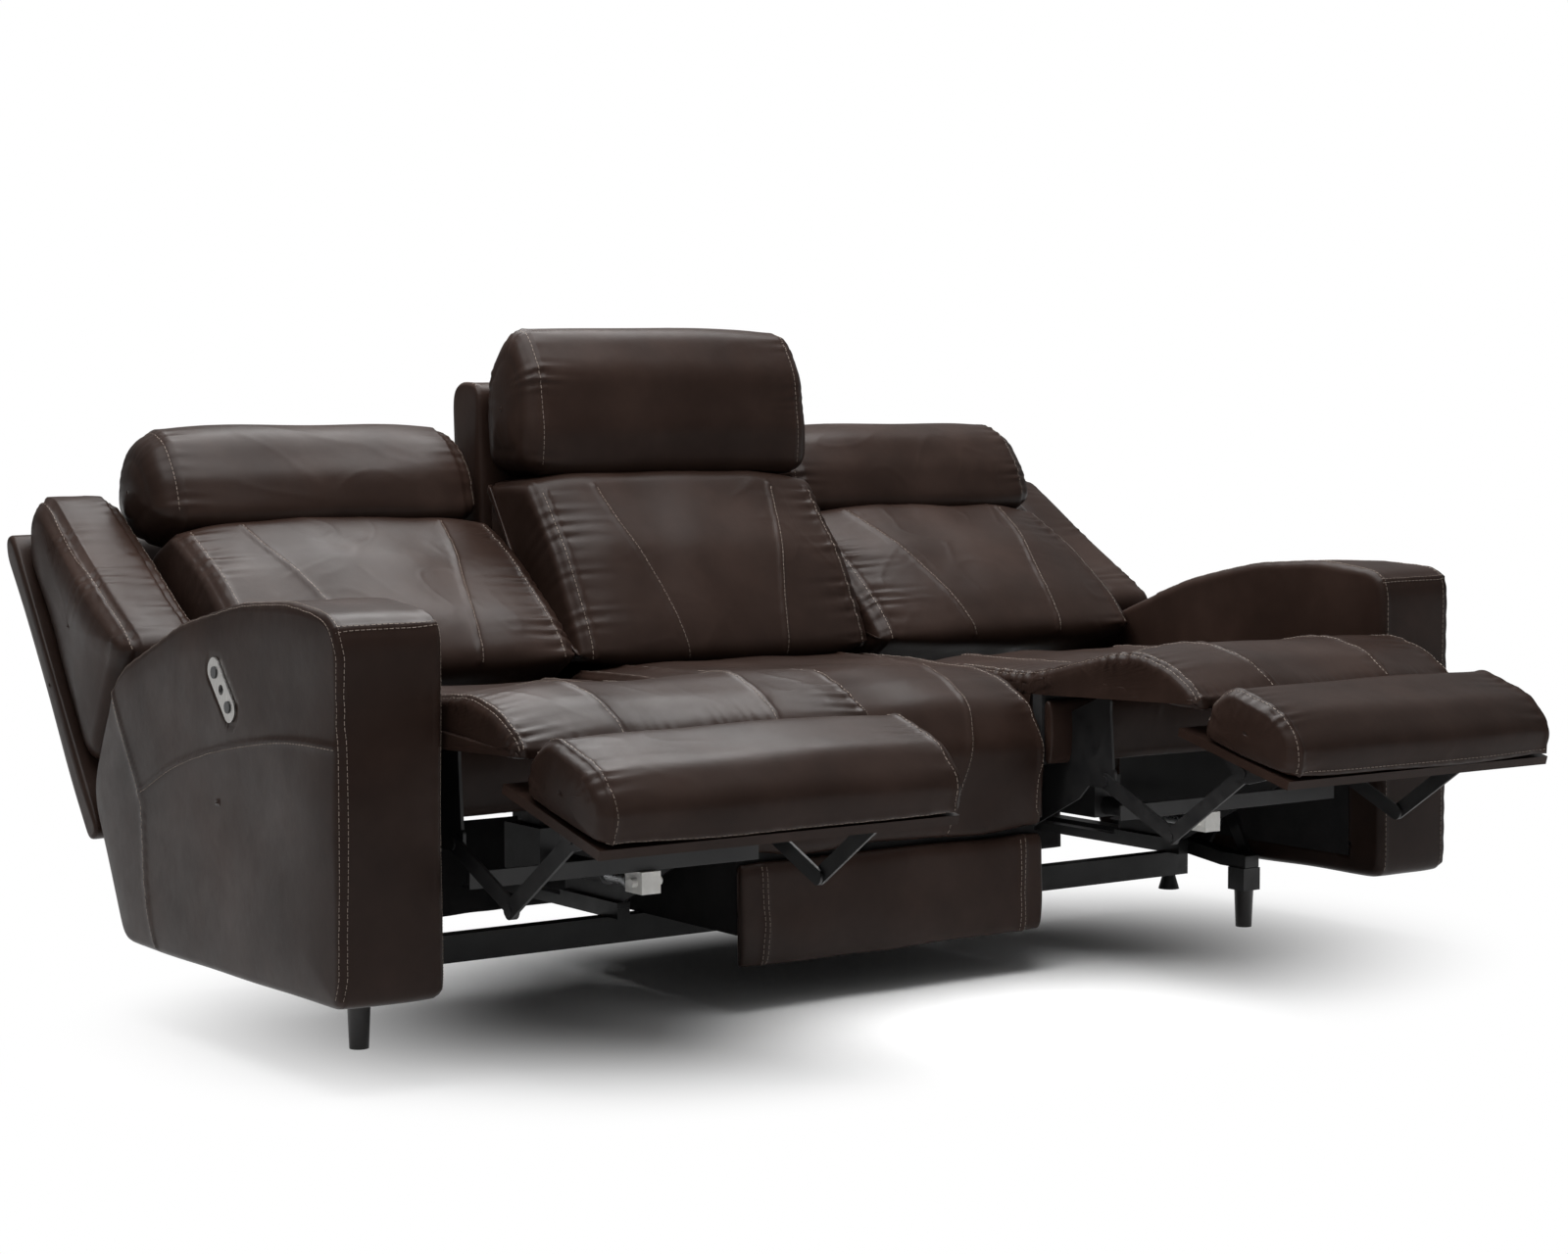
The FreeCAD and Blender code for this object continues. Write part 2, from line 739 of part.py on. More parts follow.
def make_seat(side):
    word = side_name(side)
    low_x, high_x = span(side, inner_x + gap, arm_inner - gap)
    width = high_x - low_x
    front = size("deck_front")
    rear = size("deck_rear")
    deck = box(
        f"deck_{word}", f"{width}", "deck_rear - deck_front", "deck_thickness",
        (low_x, front, size("deck_bottom")),
    )
    front_board = box(
        f"front_board_{word}", f"{width}", "front_board_thickness",
        "front_board_top - deck_bottom", (low_x, front, size("deck_bottom")),
    )
    keep(fuse(f"seat_frame_fuse_{word}", [deck, front_board]), f"seat_frame_{word}")

    # side plates hang from the deck and slide on the tracks by their shoes
    seat_pivot, _, _ = linkage()
    hinge = (size("back_hinge_y"), size("back_hinge_z"))
    flap = (size("flap_hinge_y"), size("flap_hinge_z"))
    shoe_top = track_top + touch + size("shoe_height")
    shoe_front = size("shoe_front")
    shoe_rear = shoe_front + size("shoe_length")
    plate_front = size("side_plate_front")
    under = size("deck_bottom")
    lip = size("side_plate_lip")
    throat = size("side_plate_throat")
    outline = [
        (plate_front, under), (plate_front, lip), (throat, lip), (throat + 24, lip - 24),
        (shoe_front, shoe_top), (shoe_rear, shoe_top), (hinge[0] + 28, hinge[1] - 20),
        (hinge[0] + 28, under),
    ]
    pieces = []
    pin_radius = size("pin_radius")
    for plate_x, facing in plate_places():
        near, _ = span(side, plate_x, plate_x + size("side_plate_thickness"))
        name = f"side_plate_{word}_{len(pieces)}"
        holes = [(*seat_pivot, pin_radius), (*hinge, pin_radius)]
        plate = profile_body(name, outline, 6, "side_plate_thickness", holes)
        plate.Placement.Base = Vector(near, 0, 0)
        centre = plate_x + size("side_plate_thickness") / 2
        corner = (
            side * centre - size("shoe_width") / 2, shoe_front, track_top + touch,
        )
        shoe = box(name + "_shoe", "shoe_width", "shoe_length", "shoe_height", corner)
        ear_outline = [
            (flap[0] - 14, flap[1] - 14), (flap[0] - 14, flap[1] + 8), (flap[0] + 14, flap[1] + 8),
            (front - touch, flap[1] - 30), (front - touch, under - 14), (plate_front + 4, under - 14),
        ]
        ear = profile_body(name + "_ear", ear_outline, 5, "side_plate_thickness")
        ear.Placement.Base = Vector(near, 0, 0)
        pieces.append(fuse(name + "_fuse", [plate, shoe, ear]))
        pieces += pin(name + "_link_pin", side, plate_x, facing, 0, 1, *seat_pivot)
        pieces += pin(name + "_back_pin", side, plate_x, facing, 0, 1, *hinge)
    keep(group(f"seat_side_plates_group_{word}", pieces), f"seat_side_plates_{word}")

    top = size("seat_height")
    rear = size("cushion_rear")
    hinge_y = size("flap_hinge_y") + size("fold_gap")
    back_of_board = front + size("front_board_thickness") + gap
    cushion = [
        (hinge_y, size("front_board_top") + 8), (hinge_y, top + 30), (192, top),
        (400, top - 4), (rear - 46, top - 6), (rear, top - 30), (rear, deck_top + touch),
        (back_of_board, deck_top + touch), (back_of_board, size("front_board_top") + 8),
    ]
    radii = [10, 24, 90, 200, 60, 40, 10, 6, 6]
    form = padded(cushion, radii, low_x, high_x, 7, seam_dip, end_seams)
    keep(feature(form, f"seat_cushion_form_{word}"), f"seat_cushion_{word}")


def make_flap(side):
    """The chaise pad between seat and footrest, from its hinge, with +Y to the rear."""
    word = side_name(side)
    low_x, high_x = span(side, inner_x + gap + 4, arm_inner - gap - 4)
    length = size("flap_length")
    thick = size("flap_thickness")
    fold = size("fold_gap")
    pad = [
        (-fold, 18), (-fold, thick), (-60, thick + 14), (-125, thick + 22), (-205, thick), (-length, 30),
        (-length, 6), (-210, 6), (-60, 18),
    ]
    radii = [6, 16, 120, 120, 90, 16, 10, 60, 60]
    form = padded(pad, radii, low_x, high_x, 10, seam_dip, end_seams)
    piece = feature(form, f"chaise_form_{word}")
    piece.Placement = about_x(size("flap_hinge_y"), size("flap_hinge_z"), 0)
    keep(piece, f"chaise_pad_{word}")


def make_back(side):
    """The back, from its hinge, drawn upright and then let down by the recline angle."""
    word = side_name(side)
    place = about_x(size("back_hinge_y"), size("back_hinge_z"), -size("back_angle"))
    low_x, high_x = span(side, inner_x + gap, arm_inner - gap)
    lean = size("shell_lean")
    foot = (size("shell_foot_y"), size("shell_foot_z"))

    def along(distance, forward):
        """A point on the back: up its rear line and forward from it."""
        y, z = turned(-forward, distance, -lean)
        return (foot[0] + y, foot[1] + z)

    thick = size("shell_thickness")
    length = size("shell_length")
    shell = [
        along(0, 0), along(length, 0), along(length + 30, 16), along(length + 28, 34),
        along(length, thick), along(0, thick),
    ]
    shell_low, shell_high = span(side, inner_x + gap + 2, arm_inner + size("shell_overhang"))
    form = padded(shell, [10, 20, 10, 10, 20, 8], shell_low, shell_high, 5, sharpness=8)
    piece = feature(form, f"shell_form_{word}")
    piece.Placement = place
    keep(piece, f"back_shell_{word}")

    # wooden panel in front of the shell, and two steel arms down to the hinge
    wood = size("frame_thickness")
    panel = [
        along(70, thick + touch), along(length - 70, thick + touch),
        along(length - 70, thick + wood), along(70, thick + wood),
    ]
    pieces = []
    panel_body = profile_body(f"back_panel_{word}", panel, 3, "seat_width - 20")
    panel_body.Placement = place.multiply(FreeCAD.Placement(Vector(low_x + 8, 0, 0), FreeCAD.Rotation()))
    pieces.append(panel_body)
    arm_foot = along(80, thick + wood)
    arm_top = along(140, thick + wood)
    arm = [(-15, -15), (-15, 15), arm_top, arm_foot, (30, -13)]
    for plate_x, facing in plate_places():
        low = layer(side, plate_x, facing, 1, size("hinge_arm_thickness"))
        holes = [(0, 0, size("pin_radius") + size("pin_gap"))]
        arm_body = profile_body(
            f"hinge_arm_{word}_{len(pieces)}", arm, 4, "hinge_arm_thickness", holes
        )
        offset = FreeCAD.Placement(Vector(low, 0, 0), FreeCAD.Rotation())
        arm_body.Placement = place.multiply(offset)
        pieces.append(arm_body)
    keep(group(f"back_frame_group_{word}", pieces), f"back_frame_{word}")

    cushion = [
        (-72, 190), (0, 350), (112, 556), (206, 566), along(480, thick + wood + touch),
        along(150, thick + wood + touch), (50, 176),
    ]
    radii = [30, 400, 30, 60, 20, 20, 60]
    form = padded(cushion, radii, low_x + 2, high_x - 2, 18, seam_dip, inner_seams)
    piece = feature(form, f"back_cushion_form_{word}")
    piece.Placement = place
    keep(piece, f"back_cushion_{word}")

    pillow = [
        (122, 569), (104, 632), (118, 698), (160, 744), (215, 750), (268, 726), (300, 670),
        (292, 610), (214, 565),
    ]
    form = padded(pillow, [20, 70, 70, 60, 60, 60, 60, 40, 60], low_x, high_x, 18, sharpness=4)
    piece = feature(form, f"pillow_form_{word}")
    piece.Placement = place
    keep(piece, f"back_pillow_{word}")

    wing = [
        (26, 290), (104, 404), (182, 537), (248, 655), (275, 676), (308, 660),
        along(540, thick + touch), along(122, thick + touch), (226, 182), (164, 226), (92, 278),
    ]
    wing_low, wing_high = span(side, arm_inner + gap, arm_inner + size("wing_width"))
    radii = [16, 160, 300, 30, 30, 30, 20, 10, 16, 60, 40]
    form = padded(wing, radii, wing_low, wing_high, 14, sharpness=4)
    piece = feature(form, f"wing_form_{word}")
    piece.Placement = place
    keep(piece, f"back_wing_{word}")


def make_footrest(side):
    """Board, roll and brackets, from the board's rear top edge, with +Y to the rear."""
    word = side_name(side)
    place = about_x(size("footrest_y"), size("footrest_z"), size("footrest_tilt"))
    middle = (inner_x + arm_inner) / 2
    half = size("footrest_width") / 2
    low_x, high_x = span(side, middle - half, middle + half)
    length = size("footrest_length")
    board = box(
        f"footrest_board_box_{word}", "footrest_width", "footrest_length", "footrest_board",
        (0, 0, 0),
    )
    offset = FreeCAD.Placement(Vector(low_x, -length, -size("footrest_board")), FreeCAD.Rotation())
    board.Placement = place.multiply(offset)
    keep(board, f"footrest_board_{word}")

    high = size("roll_height")
    rear = size("roll_rear")
    roll = [
        (-rear, touch), (-rear - 3, 58), (-rear - 42, high), (-length + 45, high - 12),
        (-length, 48), (-length, touch),
    ]
    form = padded(roll, [10, 34, 30, 50, 36, 14], low_x, high_x, 14, seam_dip, end_seams)
    piece = feature(form, f"footrest_roll_form_{word}")
    piece.Placement = place
    keep(piece, f"footrest_roll_{word}")

    # brackets under the board, each with a hole for the front link's pin
    reach = size("bracket_reach")
    drop = size("bracket_drop")
    under = -size("footrest_board")
    outline = [
        (-reach - 14, -drop - 14), (-reach + 14, -drop - 14), (-reach + 60, under - touch),
        (-reach - 70, under - touch),
    ]
    pieces = []
    for plate_x, facing in plate_places():
        low = layer(side, plate_x, facing, 3, size("link_thickness"))
        holes = [(-reach, -drop, size("pin_radius") + size("pin_gap"))]
        plate = profile_body(
            f"footrest_bracket_{word}_{len(pieces)}", outline, 6, "link_thickness", holes
        )
        plate.Placement = place.multiply(FreeCAD.Placement(Vector(low, 0, 0), FreeCAD.Rotation()))
        pieces.append(plate)
    keep(group(f"footrest_brackets_group_{word}", pieces), f"footrest_brackets_{word}")


def make_links(side):
    """Rear and front links at both sides of a recliner, with their pins."""
    word = side_name(side)
    seat_pivot, knee, foot_pivot = linkage()
    rear = []
    front = []
    front_length = math.dist(knee, foot_pivot)
    front_angle = math.degrees(math.atan2(foot_pivot[1] - knee[1], foot_pivot[0] - knee[0]))
    thick = size("link_thickness")
    for plate_x, facing in plate_places():
        number = len(rear)
        low = layer(side, plate_x, facing, 1, thick)
        rear.append(link_body(
            f"rear_link_{word}_{number}", size("rear_link_length"), low,
            *seat_pivot, 180 + size("rear_link_angle"),
        ))
        rear += pin(f"knee_pin_{word}_{number}", side, plate_x, facing, 1, 1, *knee)
        low = layer(side, plate_x, facing, 2, thick)
        front.append(link_body(
            f"front_link_{word}_{number}", front_length, low, *knee, front_angle
        ))
        front += pin(f"foot_pin_{word}_{number}", side, plate_x, facing, 2, 1, *foot_pivot)
    keep(group(f"rear_links_group_{word}", rear), f"rear_links_{word}")
    keep(group(f"front_links_group_{word}", front), f"front_links_{word}")


def make_actuator(side):
    """Motor with its housing tube under the deck, and the inner tube, clevis and beam it drives."""
    word = side_name(side)
    middle = side * size("actuator_offset")
    width = size("motor_width")
    y = size("clevis_y")
    z = size("clevis_z")
    start = y + size("housing_setback")
    rear = start + size("housing_length")
    outer = rod(
        f"housing_tube_{word}", "tube_radius + housing_wall", "housing_length",
        (middle, start, z), (0, 1, 0),
    )
    drop = size("motor_drop")
    corner = (middle - width / 2, rear - size("motor_length"), z - drop)
    motor = box(f"motor_box_{word}", "motor_width", "motor_length", "motor_height", corner)
    hanger_height = size("deck_bottom") - z - size("motor_height") + drop
    hanger = box(
        f"motor_hanger_{word}", "motor_width * 0.5", "motor_length * 0.5", f"{hanger_height}",
        (
            middle - width / 4, corner[1] + size("motor_length") / 4,
            z - drop + size("motor_height"),
        ),
    )
    solid = fuse(f"actuator_solid_{word}", [outer, motor, hanger])
    bore = rod(
        f"actuator_bore_{word}", "tube_radius + tube_gap", "drive_stroke + bore_reserve",
        (middle, start, z), (0, 1, 0),
    )
    keep(cut(f"actuator_cut_{word}", solid, bore), f"actuator_{word}")

    clevis_width = size("clevis_width")
    clevis_length = size("clevis_length")
    tube = rod(
        f"inner_tube_{word}", "tube_radius", "inner_tube_length",
        (middle, y + clevis_length / 2, z), (0, 1, 0),
    )
    ring = rod(
        f"tube_ring_{word}", "tube_radius + 4", "ring_length",
        (middle, y + clevis_length / 2 + 3, z), (0, 1, 0),
    )
    keep(fuse(f"inner_tube_fuse_{word}", [tube, ring]), f"actuator_tube_{word}")

    block = box(
        f"clevis_block_{word}", "clevis_width", "clevis_length", "clevis_width",
        (middle - clevis_width / 2, y - clevis_length / 2, z - clevis_width / 2),
    )
    eye = rod(
        f"clevis_eye_{word}", "clevis_pin_radius", "clevis_width * 1.6",
        (middle - clevis_width * 0.8, y - 6, z), (1, 0, 0),
    )
    keep(fuse(f"clevis_fuse_{word}", [block, eye]), f"actuator_clevis_{word}")

    # an angle beam across the clevis, between the side plates
    near, far = (place for place, _ in plate_places())
    beam_near = near + size("side_plate_thickness") + size("beam_end_gap")
    beam_far = far - size("beam_end_gap")
    low, high = span(side, beam_near, beam_far)
    base = z + clevis_width / 2
    leg = size("beam_leg")
    wall = size("beam_wall")
    angle = [
        (y - leg / 2, base), (y + leg / 2, base), (y + leg / 2, base + wall),
        (y - leg / 2 + wall, base + wall), (y - leg / 2 + wall, base + leg),
        (y - leg / 2, base + leg),
    ]
    beam = profile_body(f"drive_beam_body_{word}", angle, 1, f"{beam_far - beam_near}")
    beam.Placement.Base = Vector(low, 0, 0)
    keep(beam, f"drive_beam_{word}")


make_base()
make_side_rails()
make_tracks()
make_centre()
for side in (-1, 1):
    make_arm(side)
    make_seat(side)
    make_flap(side)
    make_back(side)
    make_footrest(side)
    make_links(side)
    make_actuator(side)
doc.recompute()

# Everything is checked before a file is written
for item in doc.Objects:
    if "Invalid" in item.State or "Error" in item.State:
        raise RuntimeError(f"{item.Label} is {item.State}")
broken = [p.Label for p in subparts if p.Shape.isNull() or not p.Shape.isValid()]
if broken:
    raise RuntimeError(f"no valid shape: {', '.join(broken)}")

# The origin goes under the middle of the sofa's box
whole = FreeCAD.BoundBox()
for piece in subparts:
    whole.add(piece.Shape.optimalBoundingBox(False, False))
middle_y = (whole.YMin + whole.YMax) / 2
print(f"box x {whole.XMin:.1f} {whole.XMax:.1f} y {whole.YMin:.1f} {whole.YMax:.1f}")
print(f"box z {whole.ZMin:.1f} {whole.ZMax:.1f}")
print(f"origin at y {middle_y:.3f}")

os.makedirs("parts", exist_ok=True)
for piece in subparts:
    shape = piece.Shape.copy()
    shape.translate(Vector(0, -middle_y, 0))
    shape.exportStep(f"parts/{piece.Label}.step")
print(len(subparts), "sub-parts")
pivots = dict(zip(("seat_pivot", "knee", "foot_pivot"), linkage()))
pivots["back_hinge"] = (size("back_hinge_y"), size("back_hinge_z"))
pivots["flap_hinge"] = (size("flap_hinge_y"), size("flap_hinge_z"))
pivots["front_foot"] = (size("side_rail_front") + size("leg_block_depth") / 2, 0)
pivots["rear_foot"] = (size("rear_rail_y") + size("rail_depth") / 2, 0)
for name, (y, z) in pivots.items():
    print(name, f"{y - middle_y:.3f} {z:.3f}")
print("feet", f"{leg_x:.3f} {size('rear_leg_spread'):.3f}")
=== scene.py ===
"""Looks of the reclining sofa: leather upholstery, stitching, switches and steelwork.

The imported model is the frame. Forms are written in millimetres in the frame of the CAD source, where
Y = 0 is the front of the arms; in_row() turns them into the row frame. Each soft piece is a lofted
form, then seams press in, pleats gather beside them, and stitches lie on the finished surface.
"""
import json
import math

import bpy
import numpy as np
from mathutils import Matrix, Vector
from mathutils.bvhtree import BVHTree


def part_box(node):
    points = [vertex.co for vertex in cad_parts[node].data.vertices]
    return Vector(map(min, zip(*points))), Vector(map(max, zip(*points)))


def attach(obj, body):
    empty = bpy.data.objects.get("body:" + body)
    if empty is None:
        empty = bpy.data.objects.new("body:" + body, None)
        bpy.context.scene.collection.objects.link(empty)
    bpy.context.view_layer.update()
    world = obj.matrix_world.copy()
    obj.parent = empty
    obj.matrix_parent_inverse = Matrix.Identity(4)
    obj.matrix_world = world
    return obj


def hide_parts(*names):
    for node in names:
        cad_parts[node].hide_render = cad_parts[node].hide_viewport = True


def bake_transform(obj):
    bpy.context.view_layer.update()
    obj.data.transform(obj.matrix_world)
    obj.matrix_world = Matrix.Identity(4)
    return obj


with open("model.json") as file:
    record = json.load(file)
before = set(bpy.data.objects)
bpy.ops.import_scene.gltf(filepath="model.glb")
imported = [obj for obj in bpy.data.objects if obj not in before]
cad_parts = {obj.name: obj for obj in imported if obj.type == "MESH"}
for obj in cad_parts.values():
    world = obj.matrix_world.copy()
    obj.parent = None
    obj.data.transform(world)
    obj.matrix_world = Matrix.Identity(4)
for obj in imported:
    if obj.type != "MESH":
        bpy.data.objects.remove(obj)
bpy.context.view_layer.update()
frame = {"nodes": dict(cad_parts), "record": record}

# Sizes shared with the CAD source, in millimetres
ARM_BOARD_FRONT = 76
ARM_INNER = 954
ARM_OUTER = 1130
SEAT_LOW = 322
SEAT_HIGH = 950
SEAT_MIDDLE = (SEAT_LOW + SEAT_HIGH) / 2
CENTRE_HALF = 316
BACK_HINGE = (590, 336)
BACK_ANGLE = -27
FLAP_HINGE = (85, 470)
FOOTREST = (-139, 449)
FOOTREST_TILT = 14.5
SWITCH = (351, 553)
SWITCH_TILT = 47
CLOTH_Y = 868
CLOTH_TOP = 246
CLOTH_BOTTOM = 84
CLOTH_THICKNESS = 0.0012
SHELL_LEAN = 9.6
SHELL_FOOT = (280, 62)
MIDDLE_Y = ARM_BOARD_FRONT - 1000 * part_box("arm_board_left")[0].y


# Small geometry
def turn(y, z, degrees):
    angle = math.radians(degrees)
    return y * math.cos(angle) - z * math.sin(angle), y * math.sin(angle) + z * math.cos(angle)


def placed(points, origin=(0, 0), degrees=0):
    """Points (x, y, z) turned about X, then moved so that their zero is at origin (y, z)."""
    moved = np.array(points, float)
    y, z = moved[:, 1].copy(), moved[:, 2].copy()
    angle = math.radians(degrees)
    moved[:, 1] = y * math.cos(angle) - z * math.sin(angle) + origin[0]
    moved[:, 2] = y * math.sin(angle) + z * math.cos(angle) + origin[1]
    return moved


def in_row(points):
    """Millimetres behind the arms' front become metres in the row frame."""
    return (np.array(points, float) - (0, MIDDLE_Y, 0)) / 1000


def rounded(corners, radii, spacing):
    """Evenly spaced points round a closed outline whose corners are rounded."""
    corners = [np.array(c, float) for c in corners]
    line = []
    for i, corner in enumerate(corners):
        before = corners[i - 1] - corner
        after = corners[(i + 1) % len(corners)] - corner
        length_in, length_out = np.linalg.norm(before), np.linalg.norm(after)
        before, after = before / length_in, after / length_out
        half = math.acos(max(-1, min(1, float(before @ after)))) / 2
        tangent = min(radii[i] / math.tan(half), 0.46 * length_in, 0.46 * length_out)
        radius = tangent * math.tan(half)
        middle = before + after
        centre = corner + middle / np.linalg.norm(middle) * tangent / math.cos(half)
        start = math.atan2(*(corner + before * tangent - centre)[::-1])
        end = math.atan2(*(corner + after * tangent - centre)[::-1])
        sweep = (end - start + math.pi) % (2 * math.pi) - math.pi
        for share in np.linspace(0, 1, 12):
            angle = start + sweep * share
            line.append(centre + radius * np.array((math.cos(angle), math.sin(angle))))
    return evenly(np.array(line), spacing, closed=True)


def evenly(line, spacing, closed=False):
    """The same line with its points at even distances."""
    if closed:
        line = np.vstack([line, line[:1]])
    steps = np.linalg.norm(np.diff(line, axis=0), axis=1)
    at = np.concatenate([[0], np.cumsum(steps)])
    count = max(3, round(at[-1] / spacing))
    wanted = np.linspace(0, at[-1], count + 1)
    if closed:
        wanted = wanted[:-1]
    return np.stack([np.interp(wanted, at, line[:, k]) for k in range(line.shape[1])], axis=1)


def smooth_line(points, spacing=4.0):
    """A smooth line through a few points, by Catmull-Rom, with even steps."""
    p = np.array(points, float)
    p = np.vstack([2 * p[0] - p[1], p, 2 * p[-1] - p[-2]])
    out = []
    for i in range(1, len(p) - 2):
        for t in np.linspace(0, 1, 24, endpoint=False):
            a, b, c, d = p[i - 1], p[i], p[i + 1], p[i + 2]
            out.append(0.5 * (2 * b + (c - a) * t + (2 * a - 5 * b + 4 * c - d) * t ** 2
                              + (3 * b - a - 3 * c + d) * t ** 3))
    out.append(p[-2])
    return evenly(np.array(out), spacing)


def waves(points, seed, size, count=16):
    """Smooth noise of about -1 to 1, with bumps about `size` mm across."""
    rng = np.random.default_rng(seed)
    total = np.zeros(len(points))
    for _ in range(count):
        way = rng.normal(size=3)
        way *= 2 * math.pi / np.linalg.norm(way) / (size * rng.uniform(0.7, 1.6))
        total += np.sin(points @ way + rng.uniform(0, 2 * math.pi))
    return total / math.sqrt(count)


# Lofted padded forms
def mesh_object(name, verts, faces, material):
    """A smooth-shaded object of one material from vertices that are already in metres."""
    mesh = bpy.data.meshes.new(name)
    mesh.from_pydata(verts, [], faces)
    mesh.polygons.foreach_set("use_smooth", [True] * len(mesh.polygons))
    mesh.materials.append(material)
    piece = bpy.data.objects.new(name, mesh)
    bpy.context.scene.collection.objects.link(piece)
    return piece


class Form:
    """A padded form: an outline in (y, z) swept along X, rounded over at both ends."""

    def __init__(self, name, corners, radii, x_low, x_high, draw=8, sharpness=4, roll=14,
                 bulge=(4, 4), bulge_power=3, crown=0, place=((0, 0), 0), spacing=4.4, dome=False,
                 soften=9):
        self.name = name
        self.place = place
        ring = rounded(corners, radii, spacing)
        for _ in range(soften):
            ring = (np.roll(ring, 1, axis=0) + 2 * ring + np.roll(ring, -1, axis=0)) / 4
        self.ring = ring
        ahead = np.roll(ring, -1, axis=0) - np.roll(ring, 1, axis=0)
        normal = np.stack([-ahead[:, 1], ahead[:, 0]], axis=1)
        area = np.sum(ring[:, 0] * np.roll(ring[:, 1], -1) - np.roll(ring[:, 0], -1) * ring[:, 1])
        normal *= 1 if area > 0 else -1
        reach = max(1, round(14 / spacing))
        normal = sum(np.roll(normal, k, axis=0) for k in range(-reach, reach + 1))
        normal /= np.linalg.norm(normal, axis=1)[:, None]
        centre = ring.mean(axis=0)
        size = np.linalg.norm(ring - centre, axis=1).mean()
        low, high = x_low + bulge[0], x_high - bulge[1]
        rows = []
        cap_rows = max(3, round(size / (1.7 * spacing)))
        for k in range(cap_rows):
            rows.append((None, draw + roll, (k + 0.35) / cap_rows, 0))
        arc_rows = 9 if dome else 5
        for angle in np.linspace(90, 8, arc_rows):
            bend = math.radians(angle)
            rows.append((low + roll * (1 - math.sin(bend)), draw + roll * (1 - math.cos(bend)), 1, 0))
        for x in np.linspace(low + roll, high - roll, round((high - low - 2 * roll) / spacing)):
            share = (x - low) / (high - low)
            amount = draw * abs(2 * share - 1) ** sharpness
            rows.append((x, amount, 1, crown * (1 - abs(2 * share - 1) ** 3)))
        for angle in np.linspace(8, 90, arc_rows):
            bend = math.radians(angle)
            rows.append((high - roll * (1 - math.sin(bend)), draw + roll * (1 - math.cos(bend)), 1, 0))
        for k in reversed(range(cap_rows)):
            rows.append((None, draw + roll, (k + 0.35) / cap_rows, 0))
        points = []
        for number, (x, amount, share, lift) in enumerate(rows):
            inset = min(amount, draw) if dome else amount
            at = ring + normal * (inset - lift)
            at = centre + (at - centre) * (1 - (amount - inset) / size)
            if x is None:
                end = 0 if number < cap_rows else 1
                fall = bulge[end] * (1 - share ** bulge_power)
                x = low - fall if end == 0 else high + fall
                at = centre + (at - centre) * share
            points.append(np.column_stack([np.full(len(ring), x), at]))
        count = len(ring)
        grid = np.arange(len(rows) * count).reshape(len(rows), count)
        beside = np.roll(grid, -1, axis=1)
        faces = np.stack([grid[:-1], beside[:-1], beside[1:], grid[1:]], axis=-1).reshape(-1, 4)
        if area > 0:
            faces = faces[:, ::-1]
        points = np.vstack(points + [[[x_low, *centre]], [[x_high, *centre]]])
        self.points = points
        self.quads = faces
        first, last = len(points) - 2, len(points) - 1
        fan = [(first, *((grid[0, j], beside[0, j])[::1 if area > 0 else -1])) for j in range(count)]
        fan += [(last, *((grid[-1, j], beside[-1, j])[::-1 if area > 0 else 1])) for j in range(count)]
        self.faces = [tuple(int(i) for i in f) for f in faces] + [tuple(int(i) for i in f) for f in fan]
        self.seams = []

    def outline_index(self, yz):
        return int(np.argmin(np.linalg.norm(self.ring - np.array(yz, float), axis=1)))

    def round_path(self, start, end, x_values, backwards=False):
        """Points over the form's outline from start to end (y, z), while X goes through its values."""
        i, j = self.outline_index(start), self.outline_index(end)
        count = len(self.ring)
        steps = (i - j) % count if backwards else (j - i) % count
        way = -1 if backwards else 1
        indices = [(i + way * k) % count for k in range(steps + 1)]
        yz = self.ring[indices]
        shares = np.linspace(0, 1, len(yz))
        x = np.interp(shares, np.linspace(0, 1, len(x_values)), x_values)
        if len(x_values) > 2:
            line = smooth_line([(s, v) for s, v in zip(np.linspace(0, 1, len(x_values)), x_values)], 0.01)
            x = np.interp(shares, line[:, 0], line[:, 1])
        return np.column_stack([x, yz])

    def seam(self, path, depth=3, width=4, valley=1.2, spread=14, pleats=0, pitch=26, reach=24,
             rows=(-4.5,), stitched=True):
        """A sewn line: snapped onto the surface, pressed in, with pleats beside it if wanted."""
        path = self.snapped(evenly(np.array(path, float), 5))
        self.seams.append(dict(path=path, depth=depth, width=width, valley=valley, spread=spread,
                               pleats=pleats, pitch=pitch, reach=reach, rows=rows, stitched=stitched))

    def tree(self):
        return BVHTree.FromPolygons([tuple(p) for p in self.points], self.faces)

    def snapped(self, path):
        tree = self.tree()
        hits = [tree.find_nearest(Vector(p))[0] for p in path]
        return np.array([tuple(h) for h in hits])

    def normals(self):
        p = self.points
        total = np.zeros_like(p)
        q = self.quads
        normal = np.cross(p[q[:, 2]] - p[q[:, 0]], p[q[:, 3]] - p[q[:, 1]])
        for k in range(4):
            np.add.at(total, q[:, k], normal)
        total[-2:] = ((-1, 0, 0), (1, 0, 0))
        return total / np.maximum(np.linalg.norm(total, axis=1), 1e-9)[:, None]

